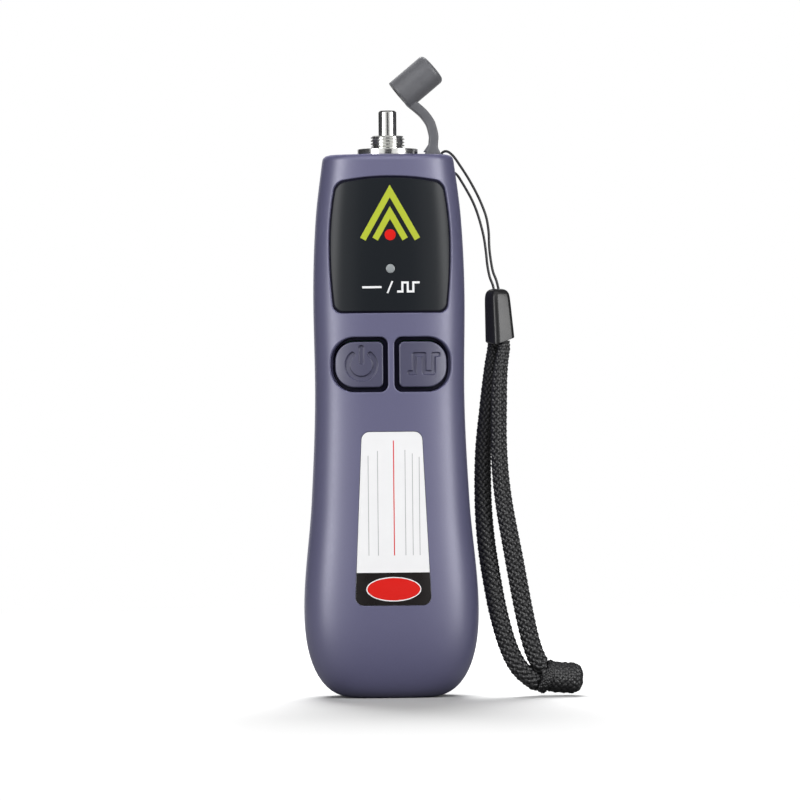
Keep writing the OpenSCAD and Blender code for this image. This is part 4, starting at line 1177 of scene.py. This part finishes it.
def add_screws():
    rings = screw_rings()
    points, faces = [], []
    for k, (x, z) in enumerate(CASE_SCREWS):
        points.append(moved(rings.reshape(-1, 3), facing(x, SCREW_SEAT, z, REAR)))
        faces += ring_faces(len(rings), SCREW_SIDES, k * len(rings) * SCREW_SIDES)
    dress(soft_mesh("case_screw_set", np.concatenate(points), faces, STEEL, 35), "case_screws")


add_screws()


def add_cell(side, up):
    """An AA cell: a shrunk wrap with a coppery shoulder, and bare ends."""
    node = "cell_" + side
    low, top = (np.array(corner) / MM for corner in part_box(node))
    x, y = (low[:2] + top[:2]) / 2
    r, h = (top[0] - low[0]) / 2, top[2] - low[2]
    turn = Matrix.Identity(4) if up else Matrix.Translation((0, 0, h)) @ Matrix.Rotation(math.pi, 4, "X")
    matrix = Matrix.Translation((x, y, low[2])) @ turn
    wrap = [
        (r - 1.6, 0.0), (r - 0.4, 0.0), (r, 0.45), (r, 36.5), (r - 0.35, 36.5), (r - 0.35, 0.5),
        (r - 1.6, 0.3), (r - 1.6, 0.0),
    ]
    shoulder = [
        (r - 0.3, 36.4), (r, 36.4), (r, h - 1.9), (r - 0.4, h - 1.45), (r - 1.8, h - 1.4), (r - 1.8, h - 1.7),
        (r - 0.6, h - 1.8), (r - 0.6, 36.4), (r - 0.3, 36.4),
    ]
    ends = [
        (0, 0.15), (r - 1.5, 0.15), (r - 0.5, 0.5), (r - 0.5, h - 2.0), (3.6, h - 1.75), (2.75, h - 1.6),
        (2.75, h - 0.3), (2.45, h), (0, h),
    ]
    parts = (("wrap", wrap, CELL_WRAP), ("shoulder", shoulder, COPPER_WRAP), ("can", ends, NICKEL))
    for name, profile, material in parts:
        piece = lathe(f"{node}_{name}", profile, material, 64, matrix, 30)
        dress(piece, node if name == "can" else None)


add_cell("left", True)
add_cell("right", False)

# Dust cap and its strap. Routes and profiles in the plane of its joints, up from the housing's top
CAP_X = 2.92
CAP_Z = BODY_H + 14.02
CAP_TILT = 50.0
CAP_R = 3.9
CAP_H = 10.4
CAP_ROUND = 1.15
STRAP = [
    (10.6, 0.02), (10.6, 0.8), (10.6, 1.6), (10.75, 3.1), (10.8, 4.8), (10.2, 7.2), (9.5, 8.5), (8.4, 9.9),
    (7.15, 11.05), (5.4, 12.5), (5.0, 13.3),
]
STRAP_B = 3.6
STRAP_T = 2.2
STRAP_CORNER = 0.5
STRAP_SPLIT = 6.8
FIN = [(9.9, 3.1), (9.5, 2.5), (9.0, 1.75), (8.5, 1.0), (8.52, 0.88), (9.2, 0.8), (10.4, 0.6), (10.6, 3.0)]
FIN_ROWS = (-1.72, -1.6, 1.6, 1.72)


def strap_rings(line, thick_half):
    """Rounded-rectangle rings along a line in the XZ plane, with half a thickness for each of its points."""
    ahead = unit(np.gradient(line, axis=0))
    normal = np.stack([-ahead[:, 2], np.zeros(len(line)), ahead[:, 0]], 1)
    b = STRAP_B / 2
    rings = []
    for p, n, t in zip(line, normal, thick_half):
        section = rounded(box_corners(b, t), [min(STRAP_CORNER, 0.8 * t, 0.8 * b)] * 4, 5)
        rings.append(p + section[:, :1] * np.array([0, 1, 0]) + section[:, 1:] * n)
    return np.array(rings)


def add_strap():
    """The strap in two pieces, split between its root and its neck."""
    route = [(x, 0.0, BODY_H + z) for x, z in STRAP]
    line, _ = even_line(smooth_route(route, 10), 0.12)
    height = line[:, 2] - BODY_H
    middle = int(np.argmin(np.abs(height - STRAP_SPLIT)))
    thick = STRAP_T / 2 + 1.0 * np.clip(1 - height / 2.6, 0, 1) ** 1.6
    lower = strap_rings(line[: middle + 1], thick[: middle + 1])
    n = lower.shape[1]
    sides = np.array([[(x, y, BODY_H + z) for x, z in FIN] for y in FIN_ROWS])
    centres = sides.mean(1, keepdims=True)
    sides[[0, 3]] = centres[[0, 3]] + (sides[[0, 3]] - centres[[0, 3]]) * np.array([0.93, 1, 0.93])
    points = np.concatenate([lower.reshape(-1, 3), sides.reshape(-1, 3)])
    faces = ring_faces(len(lower), n) + ring_faces(len(FIN_ROWS), len(FIN), lower.size // 3)
    low_piece = soft_mesh("strap_lower", points, faces, CAP_RUBBER, 50)
    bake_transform(low_piece)
    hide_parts("cap_foot", "cap_root_bend")
    upper = strap_rings(line[middle:], thick[middle:])
    high_piece = soft_mesh("strap_upper", upper.reshape(-1, 3), ring_faces(len(upper), n), CAP_RUBBER, 50)
    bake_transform(high_piece)
    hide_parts("cap_strap", "cap_neck_bend")


def add_cap():
    matrix = Matrix.Translation((CAP_X, 0, CAP_Z)) @ Matrix.Rotation(math.radians(CAP_TILT), 4, "Y")
    arc = [(CAP_R - CAP_ROUND + CAP_ROUND * math.cos(t), CAP_H - CAP_ROUND + CAP_ROUND * math.sin(t))
           for t in np.linspace(0, math.pi / 2, 10)]
    profile = [(0, 7.4), (2.0, 7.4), (2.2, 7.2), (2.2, 0.25), (2.35, 0.0), (CAP_R - 0.1, 0.0), (CAP_R, 0.1),
               (CAP_R, 0.5), *arc, (1.2, CAP_H), (0, CAP_H)]
    dress(lathe("cap_shell", profile, CAP_RUBBER, 96, matrix, 50), "dust_cap", "dust_cap")


add_strap()
add_cap()

# CAD nodes that show as they are
KEPT = {
    # The key mat shows only in the gaps round the keys, where its dark colour is partly painted shade
    MAT_RUBBER_AND_GAP_SHADE: ["key_mat"],
    BLACK_ABS: ["battery_tray"],
    GREY_ABS: ["power_plunger", "mode_plunger"],
    STEEL: ["board_screws", "power_switch", "mode_switch", "lower_contact", "plus_contact", "minus_contact",
            "lower_spring", "upper_spring"],
    BRASS: ["port_washer", "port_nut", "laser_barrel", "laser_diode", "lens_ring"],
    SOLDER_MASK: ["circuit_board"],
    EPOXY: ["board_parts"],
    RED_WIRE: ["battery_wires", "laser_wires"],
    CERAMIC: ["ceramic_sleeve"],
    LENS_GLASS: ["focus_lens"],
    LED_EPOXY: ["status_led"],
}
for material, nodes in KEPT.items():
    for node in nodes:
        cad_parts[node].data.materials.clear()
        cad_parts[node].data.materials.append(material)


# Floor, cards, lights and world
FLOOR_SIZE = 3.0
FLOOR_NEAR = 0.16
FLOOR_FAR = 0.5
CARD_R = 0.46
LID_Z = 1.0
CARDS = [(-14, 14, 0.26), (68, 157, LID_Z), (169, 191, LID_Z), (203, 292, LID_Z)]
FLOOR_BOUNCE = 0.12
FLOOR_SEEN = 0.555
LAMP_TARGET = Vector((0, 0, 75))
WORLD_LOW = 0.15


def any_of(tree, names):
    """Whether a ray is one of these kinds."""
    path = tree.nodes.new("ShaderNodeLightPath")
    last = path.outputs[names[0]]
    for name in names[1:]:
        both = tree.nodes.new("ShaderNodeMath")
        both.operation = "MAXIMUM"
        tree.links.new(last, both.inputs[0])
        tree.links.new(path.outputs[name], both.inputs[1])
        last = both.outputs[0]
    return last


def floor_material():
    """White card that keeps the shadow near the object, and is plain white further off."""
    made = shader("floor", (FLOOR_SEEN,) * 3, 0.9, Specular_IOR_Level=0.0)
    tree = made.node_tree
    tint = node_of(made, "ShaderNodeMix", data_type="RGBA")
    tint.inputs[MIX_A].default_value = (*(FLOOR_BOUNCE,) * 3, 1)
    tint.inputs[MIX_B].default_value = (*(FLOOR_SEEN,) * 3, 1)
    tree.links.new(any_of(tree, ["Is Camera Ray"]), tint.inputs[0])
    drive(made, tint.outputs[MIX_OUT], "Base Color")
    glow = node_of(made, "ShaderNodeEmission", Color=(1, 1, 1, 1), Strength=1.0)
    place = node_of(made, "ShaderNodeTexCoord")
    far = node_of(made, "ShaderNodeVectorMath", operation="LENGTH")
    tree.links.new(place.outputs["Object"], far.inputs[0])
    fade = node_of(made, "ShaderNodeMapRange", interpolation_type="SMOOTHSTEP")
    fade.inputs["From Min"].default_value = FLOOR_NEAR
    fade.inputs["From Max"].default_value = FLOOR_FAR
    tree.links.new(far.outputs["Value"], fade.inputs["Value"])
    seen = node_of(made, "ShaderNodeMath", operation="MULTIPLY")
    tree.links.new(any_of(tree, ["Is Camera Ray", "Is Glossy Ray", "Is Transmission Ray"]), seen.inputs[0])
    tree.links.new(fade.outputs["Result"], seen.inputs[1])
    mix = node_of(made, "ShaderNodeMixShader")
    tree.links.new(seen.outputs[0], mix.inputs[0])
    tree.links.new(tree.nodes["Principled BSDF"].outputs[0], mix.inputs[1])
    tree.links.new(glow.outputs[0], mix.inputs[2])
    tree.links.new(mix.outputs[0], tree.nodes["Material Output"].inputs["Surface"])
    return made


def add_card(name, points, faces, material):
    """A dark card that only shows in reflections."""
    piece = placed(name, plain_mesh(name, points, faces), material)
    piece.visible_camera = piece.visible_diffuse = piece.visible_shadow = piece.visible_transmission = False


def add_stage():
    corners = [(x, y, 0) for x, y in box_corners(FLOOR_SIZE, FLOOR_SIZE)]
    placed("floor", plain_mesh("floor", corners, [(0, 1, 2, 3)]), floor_material())
    card = shader("dark_card", (0.05, 0.05, 0.054), 1.0, Specular_IOR_Level=0.0)
    for i, (first, last, top) in enumerate(CARDS):
        turns = np.radians(np.linspace(first, last, 9))
        points = [(CARD_R * math.sin(t), -CARD_R * math.cos(t), z) for t in turns for z in (0.001, top)]
        add_card(f"card_{i}", points, [(2 * k, 2 * k + 2, 2 * k + 3, 2 * k + 1) for k in range(8)], card)
    lid = [(x, y, LID_Z) for x, y in ((-0.6, -0.16), (0.6, -0.16), (0.6, 0.6), (-0.6, 0.6))]
    add_card("lid", lid, [(0, 1, 2, 3)], card)


def add_lamp(name, place, size, energy, reflected=True):
    """An area lamp that faces the object's middle."""
    data = bpy.data.lights.new(name, "AREA")
    data.shape = "RECTANGLE"
    data.size, data.size_y = size[0] * MM, size[1] * MM
    data.energy = energy
    lamp = placed(name, data)
    lamp.location = Vector(place) * MM
    lamp.rotation_mode = "QUATERNION"
    lamp.rotation_quaternion = (LAMP_TARGET - Vector(place)).to_track_quat("-Z", "Y")
    lamp.visible_glossy = reflected


def add_world():
    """White where it is seen or reflected, and dim as a light."""
    world = bpy.data.worlds.new("world")
    bpy.context.scene.world = world
    world.use_nodes = True
    tree = world.node_tree
    back = tree.nodes["Background"]
    back.inputs["Color"].default_value = (1, 1, 1, 1)
    ramp = tree.nodes.new("ShaderNodeMapRange")
    ramp.inputs["To Min"].default_value = WORLD_LOW
    seen = any_of(tree, ["Is Camera Ray", "Is Glossy Ray", "Is Transmission Ray"])
    tree.links.new(seen, ramp.inputs["Value"])
    tree.links.new(ramp.outputs["Result"], back.inputs["Strength"])


add_stage()
add_lamp("left_box", (-700, -520, 270), (330, 560), 3.8)
add_lamp("right_box", (700, -520, 270), (330, 560), 3.8)
add_lamp("front_fill", (0, -760, 640), (600, 300), 4.5, reflected=False)
add_lamp("back_top", (0, 640, 700), (620, 620), 22.5, reflected=False)
add_world()
bpy.context.scene.view_settings.view_transform = "Standard"
